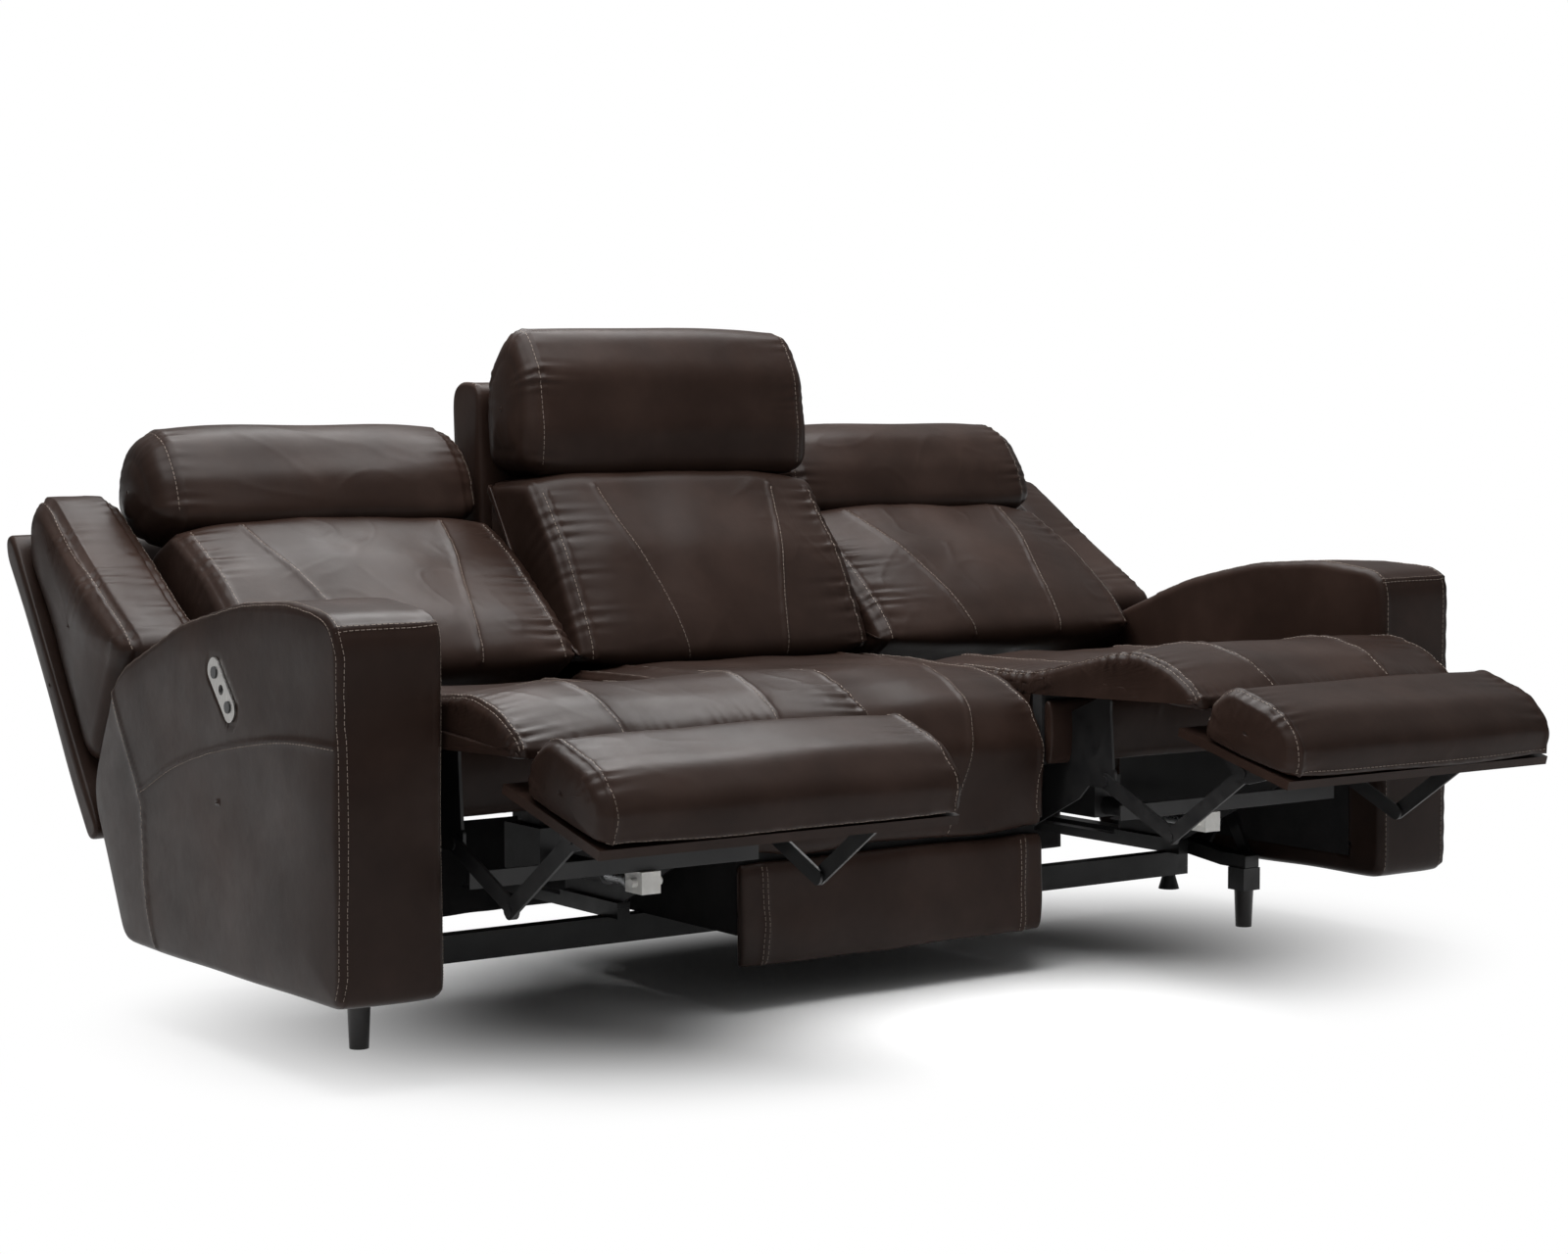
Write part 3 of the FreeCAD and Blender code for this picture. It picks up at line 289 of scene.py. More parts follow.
    def relief(self, seed, swell=2.0, swell_size=150, crease=1.2, crease_size=70, stretch=(1, 1, 1)):
        """Displace the surface: broad swell, fine creases, then every seam with its pleats."""
        points = self.points
        normal = self.normals()
        rng = np.random.default_rng(seed)
        scaled = points / np.array(stretch, float)
        lift = swell * waves(scaled, seed, swell_size)
        broad = waves(scaled, seed + 1, crease_size * 2.5)
        bent = scaled + 12 * waves(scaled, seed + 2, crease_size)[:, None]
        ridge = np.abs(waves(bent, seed + 3, crease_size))
        lift -= crease * np.exp(-(ridge / 0.16) ** 2) * np.clip(0.5 + broad, 0, 1.4)
        for seam in self.seams:
            path = seam["path"]
            nearest = np.full(len(points), 1e9)
            index = np.zeros(len(points), int)
            for start in range(0, len(points), 4000):
                part = points[start:start + 4000]
                d = np.linalg.norm(part[:, None, :] - path[None, :, :], axis=2)
                index[start:start + 4000] = d.argmin(axis=1)
                nearest[start:start + 4000] = d.min(axis=1)
            lift -= seam["depth"] * np.exp(-(nearest / seam["width"]) ** 2)
            lift -= seam["valley"] * np.exp(-nearest / seam["spread"] * 1.6)
            if seam["pleats"]:
                along = index * 5.0
                length = max(along.max(), 1)
                knots = np.arange(0, length + 80, 40)
                warp = np.interp(along, knots, rng.uniform(-1, 1, len(knots)))
                strength = np.interp(along, knots, np.clip(rng.uniform(-0.5, 1.1, len(knots)), 0, 1))
                wave = np.cos(2 * math.pi * along / seam["pitch"] + 2.6 * warp + nearest / 40)
                fade = np.exp(-nearest / seam["reach"]) * (1 - np.exp(-(nearest / 4.0) ** 2))
                lift += seam["pleats"] * strength * wave * fade
        self.points = points + normal * lift[:, None]

    def mirrored(self, side):
        if side < 0:
            self.points = self.points * (-1, 1, 1)
            self.faces = [f[::-1] for f in self.faces]
            self.quads = self.quads[:, ::-1]
            for seam in self.seams:
                seam["path"] = seam["path"] * (-1, 1, 1)
        return self

    def build(self, material):
        verts = in_row(placed(self.points, *self.place)).tolist()
        return mesh_object(self.name, verts, self.faces, material)

    def stitches(self, material, length=6.0, gap=2.6, radius=0.75):
        """Short threads along both sides of every stitched seam, laid on the final surface."""
        tree = self.tree()
        verts, faces = [], []
        for seam in self.seams:
            if not seam["stitched"]:
                continue
            path = smooth_rows(seam["path"])
            for row in seam["rows"]:
                line = smooth_rows(self.beside(tree, path, row), 12)
                line = evenly(line, 1.0)
                step = round(length + gap)
                for start in range(0, len(line) - round(length), step):
                    thread = line[start:start + round(length) + 1:2]
                    add_thread(tree, thread, radius, verts, faces)
        if not verts:
            return None
        placed_verts = in_row(placed(verts, *self.place)).tolist()
        return mesh_object(self.name + "_stitches", placed_verts, faces, material)

    def beside(self, tree, path, offset):
        """The path moved sideways along the surface."""
        ahead = np.gradient(path, axis=0)
        out = []
        for point, way in zip(path, ahead):
            hit, normal, _, _ = tree.find_nearest(Vector(point))
            across = Vector(way).cross(normal)
            if across.length < 1e-6:
                continue
            target = hit + across.normalized() * offset
            out.append(tuple(tree.find_nearest(target)[0]))
        return np.array(out)


def smooth_rows(path, passes=3):
    path = path.copy()
    for _ in range(passes):
        path[1:-1] = (path[:-2] + 2 * path[1:-1] + path[2:]) / 4
    return path


def add_thread(tree, points, radius, verts, faces):
    """A thin four-sided thread through a few points, its ends sunk into the surface."""
    base = len(verts)
    count = len(points)
    for i, point in enumerate(points):
        hit, normal, _, _ = tree.find_nearest(Vector(point))
        ahead = Vector(points[min(i + 1, count - 1)]) - Vector(points[max(i - 1, 0)])
        across = ahead.cross(normal).normalized()
        ends = i in (0, count - 1)
        centre = hit + normal * (-0.5 if ends else 0.45 * radius)
        for way in (across, normal, -across, -normal):
            verts.append(tuple(centre + way * radius * (0.55 if ends else 1)))
    for i in range(count - 1):
        for k in range(4):
            a, b = base + 4 * i + k, base + 4 * i + (k + 1) % 4
            faces.append((a, b, b + 4, a + 4))


# Materials
def nodes_of(name):
    material = bpy.data.materials.new(name)
    material.use_nodes = True
    tree = material.node_tree
    return material, tree, tree.nodes["Principled BSDF"]


def add(tree, kind, **values):
    node = tree.nodes.new(kind)
    for key, value in values.items():
        if key in node.inputs:
            node.inputs[key].default_value = value
        else:
            setattr(node, key, value)
    return node


def ramp(tree, source, stops):
    node = tree.nodes.new("ShaderNodeValToRGB")
    while len(node.color_ramp.elements) < len(stops):
        node.color_ramp.elements.new(0.5)
    for element, (place, colour) in zip(node.color_ramp.elements, stops):
        element.position = place
        element.color = (*colour, 1)
    tree.links.new(source, node.inputs["Fac"])
    return node.outputs["Color"]


def noise(tree, scale, detail=4.0, roughness=0.55, stretch=None):
    place = tree.nodes.new("ShaderNodeTexCoord").outputs["Object"]
    if stretch:
        mapping = add(tree, "ShaderNodeMapping", Scale=stretch)
        tree.links.new(place, mapping.inputs["Vector"])
        place = mapping.outputs["Vector"]
    node = add(tree, "ShaderNodeTexNoise", Scale=scale, Detail=detail, Roughness=roughness)
    tree.links.new(place, node.inputs["Vector"])
    return node.outputs["Fac"]


def bump(tree, shader, layers):
    """Chain bump layers: (height output, strength, distance in metres)."""
    before = None
    for height, strength, distance in layers:
        node = add(tree, "ShaderNodeBump", Strength=strength, Distance=distance)
        tree.links.new(height, node.inputs["Height"])
        if before:
            tree.links.new(before, node.inputs["Normal"])
        before = node.outputs["Normal"]
    tree.links.new(before, shader.inputs["Normal"])


def cells(tree, scale):
    """Fine polygonal grain: the distance to the nearest cell edge."""
    place = tree.nodes.new("ShaderNodeTexCoord").outputs["Object"]
    node = add(tree, "ShaderNodeTexVoronoi", feature="DISTANCE_TO_EDGE", Scale=scale)
    tree.links.new(place, node.inputs["Vector"])
    return node.outputs["Distance"]


def leather_material():
    material, tree, shader = nodes_of("leather")
    cloud = noise(tree, 5.0, 5, 0.6)
    colour = ramp(tree, cloud, [
        (0.30, (0.0135, 0.0074, 0.0055)), (0.5, (0.0190, 0.0108, 0.0082)), (0.72, (0.0280, 0.0165, 0.0128)),
    ])
    tree.links.new(colour, shader.inputs["Base Color"])
    rough = ramp(tree, noise(tree, 16.0, 5, 0.6), [(0.3, (0.31,) * 3), (0.7, (0.41,) * 3)])
    tree.links.new(rough, shader.inputs["Roughness"])
    shader.inputs["IOR"].default_value = 1.5
    shader.inputs["Specular IOR Level"].default_value = 0.11
    bump(tree, shader, [
        (noise(tree, 45.0, 3, 0.5), 0.08, 0.004),
        (cells(tree, 520.0), 0.14, 0.0006),
        (noise(tree, 900.0, 2, 0.5), 0.06, 0.0004),
    ])
    return material


def plain_material(name, low, high, roughness, scale=30.0, metallic=0.0, grain=0.08, fine=400.0,
                   stretch=None):
    """Paint, plastic or metal with slight mottling and fine grain."""
    material, tree, shader = nodes_of(name)
    colour = ramp(tree, noise(tree, scale, 4, 0.6, stretch), [(0.35, low), (0.65, high)])
    tree.links.new(colour, shader.inputs["Base Color"])
    spread = 0.06
    rough = ramp(tree, noise(tree, scale * 2, 4, 0.6, stretch), [
        (0.3, (roughness - spread,) * 3), (0.7, (roughness + spread,) * 3),
    ])
    tree.links.new(rough, shader.inputs["Roughness"])
    shader.inputs["Metallic"].default_value = metallic
    bump(tree, shader, [(noise(tree, fine, 2, 0.5, stretch), grain, 0.0005)])
    return material


def weave_material(name, low, high, pitch=1.1):
    """Plain woven cloth: crossed threads of the given pitch in millimetres."""
    material, tree, shader = nodes_of(name)
    place = tree.nodes.new("ShaderNodeTexCoord").outputs["Object"]
    bands = []
    for way in ("X", "Y", "Z"):
        wave = add(tree, "ShaderNodeTexWave", bands_direction=way, Scale=500 / pitch)
        tree.links.new(place, wave.inputs["Vector"])
        bands.append(wave.outputs["Fac"])
    first = add(tree, "ShaderNodeMath", operation="ADD")
    tree.links.new(bands[0], first.inputs[0])
    tree.links.new(bands[1], first.inputs[1])
    total = add(tree, "ShaderNodeMath", operation="ADD")
    tree.links.new(first.outputs[0], total.inputs[0])
    tree.links.new(bands[2], total.inputs[1])
    colour = ramp(tree, noise(tree, 14.0, 5, 0.65), [(0.3, low), (0.7, high)])
    tree.links.new(colour, shader.inputs["Base Color"])
    shader.inputs["Roughness"].default_value = 0.9
    shader.inputs["Specular IOR Level"].default_value = 0.25
    bump(tree, shader, [(noise(tree, 22.0, 4, 0.5), 0.35, 0.006), (total.outputs[0], 0.2, 0.0005)])
    return material


def wood_material():
    material, tree, shader = nodes_of("plywood")
    grain = noise(tree, 9.0, 6, 0.6, (1.2, 14, 22))
    colour = ramp(tree, grain, [
        (0.3, (0.20, 0.10, 0.045)), (0.5, (0.30, 0.165, 0.075)), (0.7, (0.40, 0.24, 0.12)),
    ])
    tree.links.new(colour, shader.inputs["Base Color"])
    shader.inputs["Roughness"].default_value = 0.62
    bump(tree, shader, [(grain, 0.2, 0.0008)])
    return material


leather = leather_material()
thread = plain_material("thread", (0.17, 0.135, 0.11), (0.26, 0.21, 0.175), 0.7, 300, grain=0.2)
SLOTS = {
    "leather": leather,
    "black_cloth": weave_material("black_cloth", (0.006, 0.006, 0.0065), (0.014, 0.013, 0.013)),
    "black_board": weave_material("black_board", (0.008, 0.008, 0.0085), (0.018, 0.017, 0.017), 1.6),
    "plywood": wood_material(),
    "brushed_metal": plain_material(
        "brushed_metal", (0.30, 0.29, 0.28), (0.46, 0.45, 0.43), 0.34, 60, 1.0, 0.12, 260, (1, 9, 1)
    ),
    "black_plastic": plain_material("black_plastic", (0.010, 0.010, 0.011), (0.02, 0.02, 0.021), 0.42),
    "dark_leg": plain_material("dark_leg", (0.012, 0.010, 0.010), (0.024, 0.02, 0.019), 0.38),
    "white_nylon": plain_material("white_nylon", (0.66, 0.65, 0.62), (0.78, 0.77, 0.74), 0.4),
    "grey_tube": plain_material("grey_tube", (0.42, 0.43, 0.44), (0.58, 0.59, 0.6), 0.28, metallic=1.0),
    "black_steel": plain_material(
        "black_steel", (0.005, 0.005, 0.0055), (0.012, 0.0115, 0.0115), 0.5, 24, 0.0, 0.12, 300
    ),
}

slot_of = {entry["node"]: entry["material_slot"] for entry in frame["record"]["subparts"]}
slot_of.update({f"footrest_board_{word}": "leather" for word in ("left", "right")})
for name, node in frame["nodes"].items():
    node.data.materials.clear()
    node.data.materials.append(SLOTS[slot_of[name]])


def side_word(side):
    return "right" if side > 0 else "left"


def show(form, side, body, replaced, fill, seed, blended=None, **relief):
    """Mirror, displace, stitch and place one form, and hide the model parts it replaces."""
    form.relief(seed, **relief)
    form.mirrored(side)
    piece = form.build(leather)
    threads = form.stitches(thread)
    if blended:
        for item in filter(None, (piece, threads)):
            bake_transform(item)
    else:
        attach(piece, body)
        if threads:
            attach(threads, body)
    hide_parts(*replaced)
    return piece


# Arms
def make_arm(side):
    word = side_word(side)
    corners = [(0, 127), (0, 676), (150, 690), (320, 682), (510, 640), (754, 552), (858, 350), (742, 121)]
    radii = [14, 40, 170, 260, 260, 120, 90, 30]
    form = Form(f"arm_leather_{word}", corners, radii, ARM_INNER, ARM_OUTER, draw=1, sharpness=6,
                roll=12, bulge=(1, 6), bulge_power=9, crown=2, soften=22)
    outer, inner = ARM_OUTER - 11, ARM_INNER + 10
    edge = dict(depth=2.4, width=4, valley=1.5, spread=18)
    form.seam(form.round_path((0, 140), (780, 520), [outer, outer]), rows=(-8, 8), **edge)
    form.seam(form.round_path((0, 140), (600, 615), [inner, inner]), **edge)
    front_edge = form.ring[form.outline_index((8, 662))]
    form.seam([(inner, *front_edge), (outer, *front_edge)], rows=(-4, 4), **edge)
    panel = [(8, 497), (120, 496), (228, 486), (383, 460), (526, 424), (650, 372)]
    form.seam([(ARM_OUTER, y, z) for y, z in smooth_line(panel)], rows=(3,), depth=2, width=4, valley=1)
    rear = [(768, 520), (700, 440), (650, 363), (645, 300), (640, 230), (612, 132)]
    form.seam([(ARM_OUTER, y, z) for y, z in smooth_line(rear)], rows=(-3,), depth=2, width=4, valley=1)
    form.relief(11 if side > 0 else 12, swell=1.5, swell_size=260, crease=0)
    # behind the switch plate and the inner board the leather is cut out
    points = form.points
    y, z = turn(points[:, 1] - SWITCH[0], points[:, 2] - SWITCH[1], -SWITCH_TILT)
    at_switch = (points[:, 0] > ARM_OUTER - 6) & (np.hypot(np.maximum(abs(y) - 34, 0), z) < 13)
    points[at_switch, 0] -= 26
    flat = (points[:, 0] > ARM_OUTER - 6) & (np.hypot(np.maximum(abs(y) - 40, 0), z) < 26)
    points[flat, 0] = np.minimum(points[flat, 0], ARM_OUTER - 0.4)
    at_board = ((points[:, 0] < ARM_INNER + 4) & (points[:, 1] > ARM_BOARD_FRONT + 2)
                & (points[:, 1] < 688) & (points[:, 2] > 162) & (points[:, 2] < 498))
    points[at_board, 0] += 19
    form.mirrored(side)
    piece = form.build(leather)
    threads = form.stitches(thread)
    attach(piece, "root")
    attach(threads, "root")
    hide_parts(f"arm_cover_{word}")


# Recliner seats
def make_seat(side):
    word = side_word(side)
    corners = [
        (606, 377), (606, 492), (560, 515), (400, 518), (235, 516), (150, 536), (85, 553), (20, 566),
        (-45, 570), (-120, 551), (-178, 518), (-196, 492), (-196, 478), (-130, 477), (25, 488),
        (214.5, 487), (216.5, 377),
    ]
    radii = [10, 40, 60, 200, 160, 160, 200, 160, 120, 120, 60, 20, 12, 80, 60, 6, 6]
    form = Form(f"seat_pad_{word}", corners, radii, SEAT_LOW, SEAT_HIGH - 4, draw=9, sharpness=5,
                roll=12, bulge=(2, 2), crown=2)
    for edge in (SEAT_LOW + 12, SEAT_HIGH - 12):
        form.seam(form.round_path((560, 515), (-190, 500), [edge, edge]), valley=2, spread=16,
                  pleats=3.6, pitch=26, reach=30, rows=(-4, 4))
    for way in (-1, 1):
        spread = [SEAT_MIDDLE + way * v for v in (186, 184, 168, 150, 132)]
        form.seam(form.round_path((560, 515), (-190, 500), spread), valley=2, spread=24, pleats=0.6,
                  pitch=30)
    front = [(SEAT_LOW + 12, -192, 503), (SEAT_HIGH - 12, -192, 503)]
    form.seam(front, valley=2, pleats=2.6, pitch=22, reach=18, stitched=False)
    start = in_row([(0, FLAP_HINGE[0] + 40, FLAP_HINGE[1])])[0]
    end = in_row([(0, FLAP_HINGE[0] - 40, FLAP_HINGE[1])])[0]
    show(form, side, f"{word}_seat", [f"seat_cushion_{word}", f"chaise_pad_{word}"], 0.8,
         31 if side > 0 else 32, blended=(f"{word}_chaise", start, end),
         swell=2.4, swell_size=190, crease=0.5, crease_size=110, stretch=(1, 1.4, 1))


def make_front_rail(side):
    """Leather over the front board of the seat."""
    word = side_word(side)
    corners = [(189.6, 352), (170, 356), (166, 420), (170, 472), (189.6, 476)]
    form = Form(f"front_rail_{word}", corners, [3, 10, 60, 10, 3], SEAT_LOW, SEAT_HIGH, draw=1, roll=4,
                bulge=(1, 1), spacing=6)
    for x in (SEAT_LOW + 105, SEAT_HIGH - 105):
        form.seam([(x, 166, 362), (x, 164, 420), (x, 166, 468)], depth=2, width=4, valley=1)
    form.relief(41 if side > 0 else 42, swell=1, crease=0.8, crease_size=60)
    form.mirrored(side)
    piece = form.build(leather)
    threads = form.stitches(thread)
    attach(piece, f"{word}_seat")
    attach(threads, f"{word}_seat")


def make_footrest(side):
    word = side_word(side)
    low, high = 326, 946
    corners = [(-49, 0.6), (-50, 58), (-91, 101), (-205, 94), (-261, 56), (-262, 0.6)]
    form = Form(f"footrest_pad_{word}", corners, [10, 34, 40, 60, 40, 14], low, high, draw=3,
                sharpness=5, roll=18, bulge=(4, 4), crown=4, place=(FOOTREST, FOOTREST_TILT), dome=True)
    for edge, row in ((low + 22, -4), (high - 22, 4)):
        form.seam(form.round_path((-50, 20), (-257, 12), [edge, edge]), valley=1.5, spread=16,
                  pleats=3.0, pitch=24, reach=26, rows=(row,))
    form.seam([(low + 16, -258, 12), (high - 16, -258, 12)], rows=(4,))
    show(form, side, f"{word}_footrest", [f"footrest_roll_{word}"], 0.85, 51 if side > 0 else 52,
         swell=1.6, swell_size=180, crease=0.3, crease_size=90, stretch=(1.8, 1, 1))


# Recliner backs, drawn upright about their hinge
def along(distance, forward):
    y, z = turn(-forward, distance, -SHELL_LEAN)
    return SHELL_FOOT[0] + y, SHELL_FOOT[1] + z


def back_seams(form, low_yz, high_yz, middle, edges, backwards):
    """Two curved decorative seams and the two edge seams of a back cushion."""
    for way in (-1, 1):
        spread = [middle + way * v for v in (104, 120, 143, 170, 190)]
        form.seam(form.round_path(low_yz, high_yz, spread, backwards), pleats=0.4, pitch=30)
    for edge, row in zip(edges, (4, -4)):
        form.seam(form.round_path(low_yz, high_yz, [edge, edge], backwards), valley=2, spread=20,
                  pleats=4.0, pitch=26, reach=32, rows=(row,))


def make_back(side):
    word = side_word(side)
    body = f"{word}_back"
    place = (BACK_HINGE, BACK_ANGLE)
    thick = 70.6
    corners = [(-69, 195), (-42, 290), (24, 430), (112, 554), (206, 564), along(480, thick),
               along(150, thick), (50, 186)]
    radii = [26, 300, 300, 26, 50, 20, 20, 60]
    form = Form(f"back_pad_{word}", corners, radii, SEAT_LOW + 2, SEAT_HIGH - 2, draw=16, sharpness=3,
                roll=16, bulge=(3, 3), crown=8, place=place, soften=20)
    back_seams(form, (-66, 205), (100, 540), SEAT_MIDDLE, (SEAT_LOW + 30, SEAT_HIGH - 30), False)
    show(form, side, body, [f"back_cushion_{word}"], 0.75, 61 if side > 0 else 62,
         swell=3.0, swell_size=190, crease=0.6, crease_size=120, stretch=(1, 1, 1.5))

    corners = [(112, 557), (100, 630), (112, 704), (156, 752), (215, 758), (268, 732), (302, 670),
               (292, 600), (214, 553)]
    form = Form(f"pillow_{word}", corners, [20, 70, 70, 60, 60, 60, 60, 40, 60], SEAT_LOW + 3,
                SEAT_HIGH + 16, draw=4, sharpness=5, roll=46, bulge=(8, 8), crown=12, place=place,
                dome=True)
    for edge, row in ((SEAT_LOW + 34, -4), (SEAT_HIGH - 30, 4)):
        form.seam(form.round_path((118, 580), (290, 640), [edge, edge]), valley=2, spread=16,
                  pleats=3.6, pitch=22, reach=24, rows=(row,))
    show(form, side, body, [f"back_pillow_{word}"], 0.85, 71 if side > 0 else 72,
         swell=2.2, swell_size=170, crease=0.4, crease_size=110, stretch=(1.8, 1, 1))

    corners = [(26, 290), (104, 404), (182, 537), (248, 655), (275, 678), (308, 660),
               along(540, 40.6), along(122, 40.6), (226, 182), (164, 226), (92, 278)]
    radii = [18, 160, 300, 40, 30, 30, 20, 10, 16, 60, 40]
    form = Form(f"wing_pad_{word}", corners, radii, ARM_INNER + 2, ARM_INNER + 162, draw=2,
                sharpness=4, roll=30, bulge=(2, 6), crown=12, place=place, dome=True)
    for edge, row in ((ARM_INNER + 14, -4), (ARM_INNER + 136, 4)):
        form.seam(form.round_path((30, 296), (290, 672), [edge, edge]), valley=2, spread=16,
                  pleats=3.2, pitch=28, reach=32, rows=(row,))
    show(form, side, body, [f"back_wing_{word}"], 0.8, 81 if side > 0 else 82,
         swell=2.2, swell_size=150, crease=0.5, crease_size=100, stretch=(1, 1.4, 1.4))

    corners = [along(0, 0), along(560, 0), along(590, 16), along(588, 34), along(560, 40), along(0, 40)]
    form = Form(f"shell_leather_{word}", corners, [10, 20, 12, 10, 20, 8], SEAT_LOW + 2,
                ARM_INNER + 172, draw=0, sharpness=8, roll=6, bulge=(1, 1), place=place)
    for edge in (SEAT_LOW + 12, ARM_INNER + 160):
        form.seam(form.round_path(along(8, 0), along(575, 4), [edge, edge]), depth=2, width=4, valley=1)
    show(form, side, body, [f"back_shell_{word}"], 0.9, 91 if side > 0 else 92,
         swell=1.4, swell_size=240, crease=0)


# Centre seat
def make_centre():
    half = CENTRE_HALF
    form = Form("centre_panel_leather", [(199.7, 68), (180, 71), (176, 130), (180, 244), (199.7, 248)],
                [3, 8, 60, 10, 3], -half, half, draw=1.5, roll=6, bulge=(1, 1), spacing=6)
    for way in (-1, 1):
        outer, inner = way * (half - 44), way * (half - 50)
        form.seam([(outer, 176, 74), (inner, 174, 140), (outer, 176, 243)], depth=2.5, width=5,
                  valley=2, rows=(-5, 5))
    show(form, 1, "root", ["centre_front_panel"], 0.9, 101, swell=1.4, swell_size=160, crease=0)

    corners = [(199.7, 252), (180, 252), (164, 395), (203, 468), (272, 504), (350, 521), (720, 521),
               (720, 380.5), (199.7, 380.5)]
    form = Form("centre_seat_leather", corners, [3, 14, 70, 60, 60, 80, 30, 6, 3], -half, half, draw=8,
                sharpness=5, roll=12, bulge=(2, 2), crown=5)
    for edge, row in ((-half + 14, -5), (half - 14, 5)):
        form.seam(form.round_path((182, 262), (680, 521), [edge, edge]), depth=3, width=5, valley=3,
                  spread=22, pleats=1.6, pitch=26, reach=24, rows=(row,))
    for way in (-1, 1):
        spread = [way * v for v in (98, 150, 182, 222, 232)]
        form.seam(form.round_path((182, 262), (680, 521), spread), pleats=0.5, pitch=36)
    show(form, 1, "root", ["centre_seat_cushion"], 0.8, 111, swell=2.6, swell_size=200, crease=0.4,
         crease_size=110)

    corners = [(900.3, 258), (1072, 255), (1108, 1000), (1092, 1021), (1010, 1019), (985, 420),
               (900.3, 370)]
    form = Form("centre_shell_leather", corners, [4, 20, 16, 16, 16, 60, 4], -half - 1, half + 1,
                draw=2, sharpness=8, roll=8, bulge=(2, 2), spacing=9)
    for edge in (-half + 12, half - 12):
        form.seam(form.round_path((1080, 270), (1020, 1019), [edge, edge]), depth=2, width=4, valley=1)
    show(form, 1, "root", ["centre_back_shell"], 0.9, 121, swell=1.4, swell_size=240, crease=0)

    corners = [(640, 521), (668, 590), (740, 720), (838, 848.5), (998, 848.5), (984.5, 521)]
    form = Form("centre_back_leather", corners, [24, 260, 260, 24, 10, 10], -half, half, draw=14,
                sharpness=3, roll=16, bulge=(3, 3), crown=10)
    back_seams(form, (645, 530), (820, 830), 0, (-half + 30, half - 30), False)
    show(form, 1, "root", ["centre_back_cushion"], 0.75, 131, swell=3.0, swell_size=190, crease=0.6,
         crease_size=120, stretch=(1, 1, 1.5))

    corners = [(846, 848.8), (838, 930), (850, 1035), (900, 1112), (950, 1112), (1002, 1045),
               (1004, 940), (996, 848.8)]
    form = Form("headrest_leather", corners, [26, 80, 80, 52, 52, 60, 60, 20], -half - 3, half + 3,
                draw=4, sharpness=5, roll=40, bulge=(8, 8), crown=5, dome=True)
    for edge, row in ((-half + 34, -4), (half - 34, 4)):
        form.seam(form.round_path((844, 870), (1002, 960), [edge, edge]), valley=2, spread=16,
                  pleats=3.6, pitch=24, reach=26, rows=(row,))
    show(form, 1, "root", ["centre_headrest"], 0.85, 141, swell=2.4, swell_size=200, crease=0.4,
         crease_size=120, stretch=(1.6, 1, 1))


# Dust cloth
def make_dust_cloth(side):
    """A black cloth across the base behind one mechanism."""
    columns, rows = 60, 16
    low, high = CENTRE_HALF + 4, ARM_INNER - 3
    top, bottom = CLOTH_TOP, CLOTH_BOTTOM
    verts = []
    for row in range(rows + 1):
        for column in range(columns + 1):
            x = low + (high - low) * column / columns
            drop = row / rows
            wave = 3.0 * math.sin(x / 31) * drop + 2.0 * math.sin(x / 13 + 1) * drop ** 2
            sag = 6 * math.sin(math.pi * column / columns) * drop
            verts.append((side * x, CLOTH_Y + wave, top - (top - bottom) * drop - sag))
    faces = []
    for row in range(rows):
        for column in range(columns):
            a = row * (columns + 1) + column
            faces.append((a, a + 1, a + columns + 2, a + columns + 1))
    piece = mesh_object(f"dust_cloth_{side_word(side)}", in_row(verts).tolist(), faces,
                        SLOTS["black_cloth"])
    thick = piece.modifiers.new("thickness", "SOLIDIFY")
    thick.thickness = CLOTH_THICKNESS
    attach(piece, "root")


make_centre()
for side in (-1, 1):
    make_dust_cloth(side)
    make_arm(side)
    make_seat(side)
    make_front_rail(side)
    make_footrest(side)
    make_back(side)


# Stage, lights and camera
CAMERA_PLACE = (-3040.6, -3716.4, 959.6)
CAMERA_LENS = 68.99
CAMERA_SHIFT = -0.0275
CAMERA_DIP = 3.24
CAMERA_TURN = 35.78


def whiten(tree, shader):
    """The floor seen straight or in a reflection turns white away from the object and its shadow."""
    place = tree.nodes.new("ShaderNodeTexCoord").outputs["Object"]
    flat = add(tree, "ShaderNodeMapping", Scale=(0.55, 0.9, 0), Location=(0, 0.05, 0))
    tree.links.new(place, flat.inputs["Vector"])
    far = add(tree, "ShaderNodeVectorMath", operation="LENGTH")
    tree.links.new(flat.outputs[0], far.inputs[0])
    fade = add(tree, "ShaderNodeMapRange", interpolation_type="SMOOTHSTEP")
    fade.inputs["From Min"].default_value = 0.3
    fade.inputs["From Max"].default_value = 0.8
    tree.links.new(far.outputs["Value"], fade.inputs["Value"])
    path = tree.nodes.new("ShaderNodeLightPath")
    seen = add(tree, "ShaderNodeMath", operation="MAXIMUM")
    tree.links.new(path.outputs["Is Camera Ray"], seen.inputs[0])
    tree.links.new(path.outputs["Is Glossy Ray"], seen.inputs[1])
    share = add(tree, "ShaderNodeMath", operation="MULTIPLY")
    tree.links.new(seen.outputs[0], share.inputs[0])
    tree.links.new(fade.outputs["Result"], share.inputs[1])
    white = add(tree, "ShaderNodeEmission", Color=(1, 1, 1, 1), Strength=1.0)
    mix = tree.nodes.new("ShaderNodeMixShader")
    tree.links.new(share.outputs[0], mix.inputs[0])
    tree.links.new(shader.outputs[0], mix.inputs[1])
    tree.links.new(white.outputs[0], mix.inputs[2])
    tree.links.new(mix.outputs[0], tree.nodes["Material Output"].inputs["Surface"])


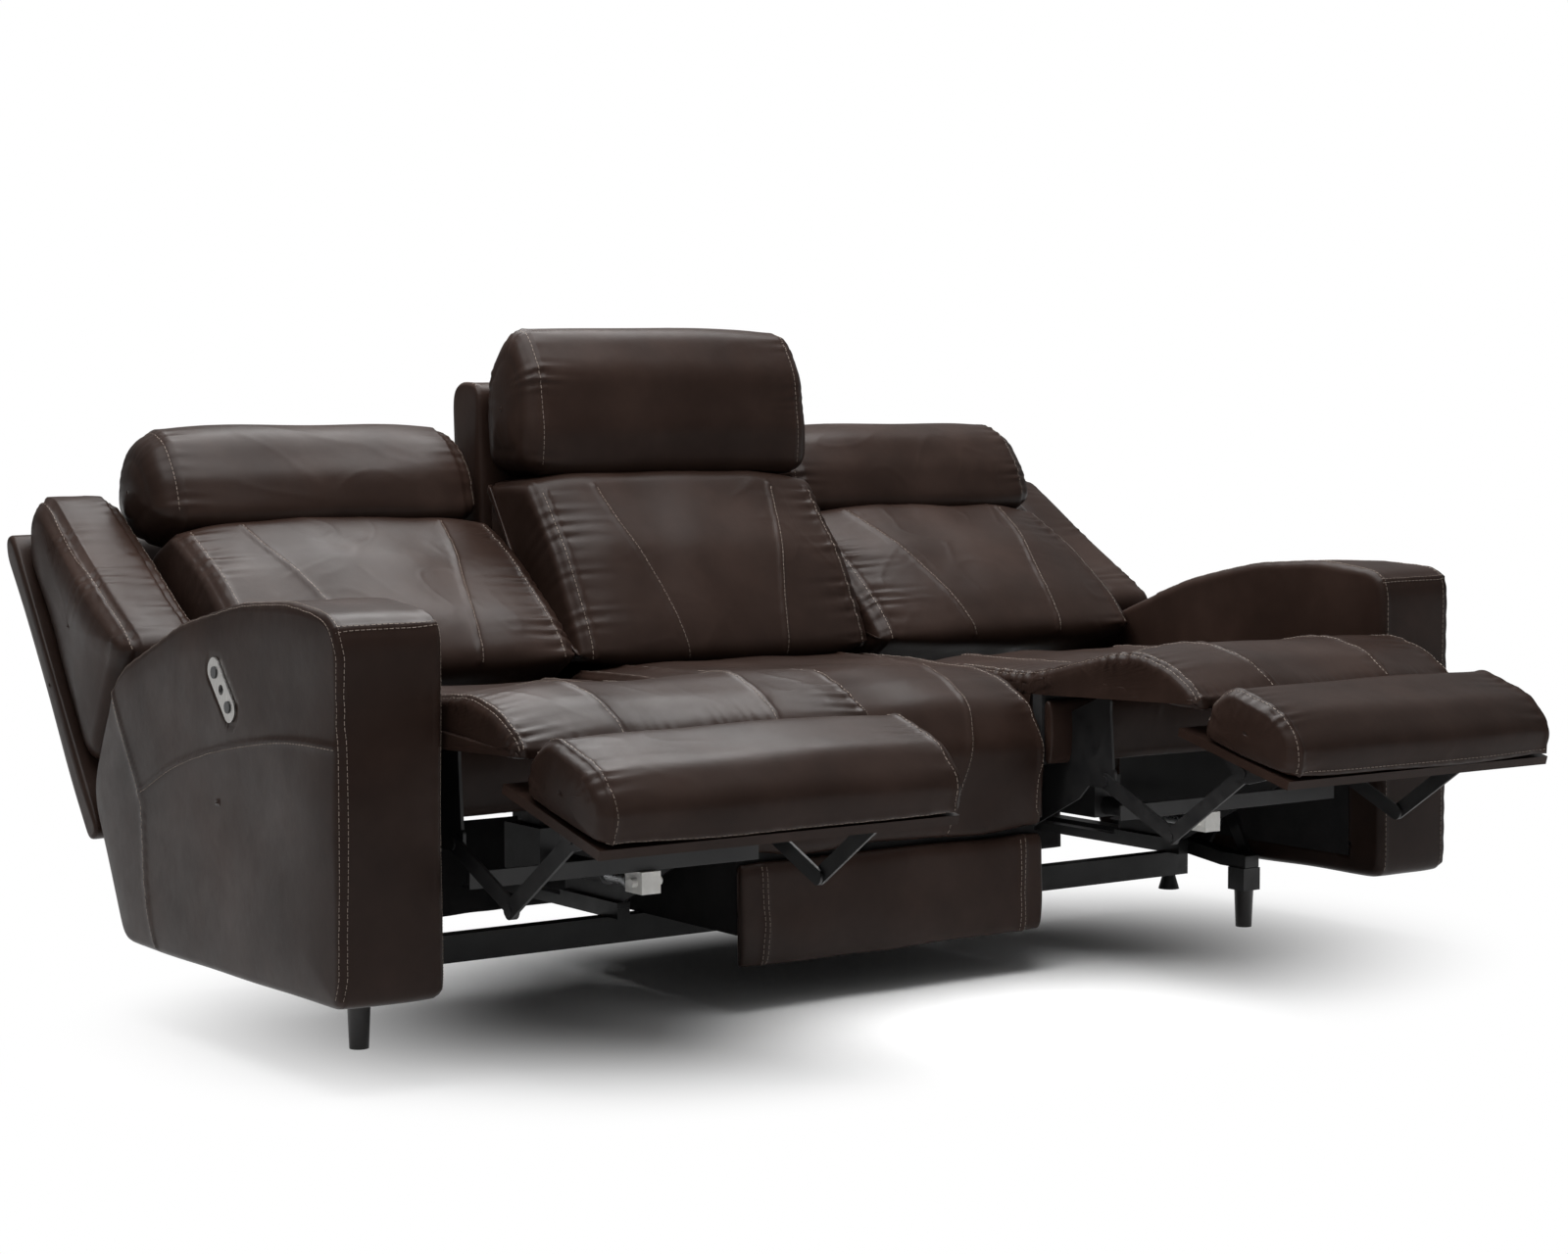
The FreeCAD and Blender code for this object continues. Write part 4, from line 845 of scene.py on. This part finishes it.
def make_stage():
    mesh = bpy.data.meshes.new("floor")
    mesh.from_pydata([(-30, -30, 0), (30, -30, 0), (30, 30, 0), (-30, 30, 0)], [], [(0, 1, 2, 3)])
    floor = bpy.data.objects.new("floor", mesh)
    bpy.context.scene.collection.objects.link(floor)
    material, tree, shader = nodes_of("floor")
    colour = ramp(tree, noise(tree, 3.0), [(0.4, (0.86,) * 3), (0.6, (0.87,) * 3)])
    tree.links.new(colour, shader.inputs["Base Color"])
    shader.inputs["Roughness"].default_value = 0.9
    shader.inputs["Specular IOR Level"].default_value = 0.1
    mesh.materials.append(material)
    whiten(tree, shader)

    world = bpy.data.worlds.new("studio")
    bpy.context.scene.world = world
    world.use_nodes = True
    tree = world.node_tree
    tree.nodes.clear()
    output = tree.nodes.new("ShaderNodeOutputWorld")
    seen = add(tree, "ShaderNodeBackground", Color=(1, 1, 1, 1), Strength=1.0)
    lit = add(tree, "ShaderNodeBackground", Color=(1, 1, 1, 1))
    way = tree.nodes.new("ShaderNodeSeparateXYZ")
    tree.links.new(tree.nodes.new("ShaderNodeTexCoord").outputs["Generated"], way.inputs[0])
    height = tree.nodes.new("ShaderNodeMapRange")
    for name, value in (("From Min", 0), ("From Max", 0.8), ("To Min", 0.07), ("To Max", 0.55)):
        height.inputs[name].default_value = value
    tree.links.new(way.outputs["Z"], height.inputs["Value"])
    tree.links.new(height.outputs[0], lit.inputs["Strength"])
    path = tree.nodes.new("ShaderNodeLightPath")
    mix = tree.nodes.new("ShaderNodeMixShader")
    tree.links.new(path.outputs["Is Camera Ray"], mix.inputs[0])
    tree.links.new(lit.outputs[0], mix.inputs[1])
    tree.links.new(seen.outputs[0], mix.inputs[2])
    tree.links.new(mix.outputs[0], output.inputs["Surface"])


def make_light(name, place, target, power, width, height):
    lamp = bpy.data.lights.new(name, "AREA")
    lamp.shape = "RECTANGLE"
    lamp.size = width
    lamp.size_y = height
    lamp.energy = power
    holder = bpy.data.objects.new(name, lamp)
    holder.location = place
    holder.rotation_euler = (Vector(target) - Vector(place)).to_track_quat("-Z", "Y").to_euler()
    bpy.context.scene.collection.objects.link(holder)


def make_camera():
    camera = bpy.data.cameras.new("photo_camera")
    camera.sensor_width = 36
    camera.lens = CAMERA_LENS
    camera.shift_y = CAMERA_SHIFT
    camera.clip_end = 100
    holder = bpy.data.objects.new("photo_camera", camera)
    holder.location = in_row([CAMERA_PLACE])[0]
    holder.rotation_euler = (math.radians(90 - CAMERA_DIP), 0, math.radians(-CAMERA_TURN))
    bpy.context.scene.collection.objects.link(holder)
    bpy.context.scene.camera = holder


make_stage()
make_light("top_box", (-0.2, 0.3, 3.0), (0, 0.1, 0.3), 225, 4.2, 2.4)
make_light("front_left_box", (-3.4, -2.4, 2.4), (0, 0, 0.5), 6, 1.6, 1.6)
make_camera()
bpy.context.scene.view_settings.view_transform = "Standard"
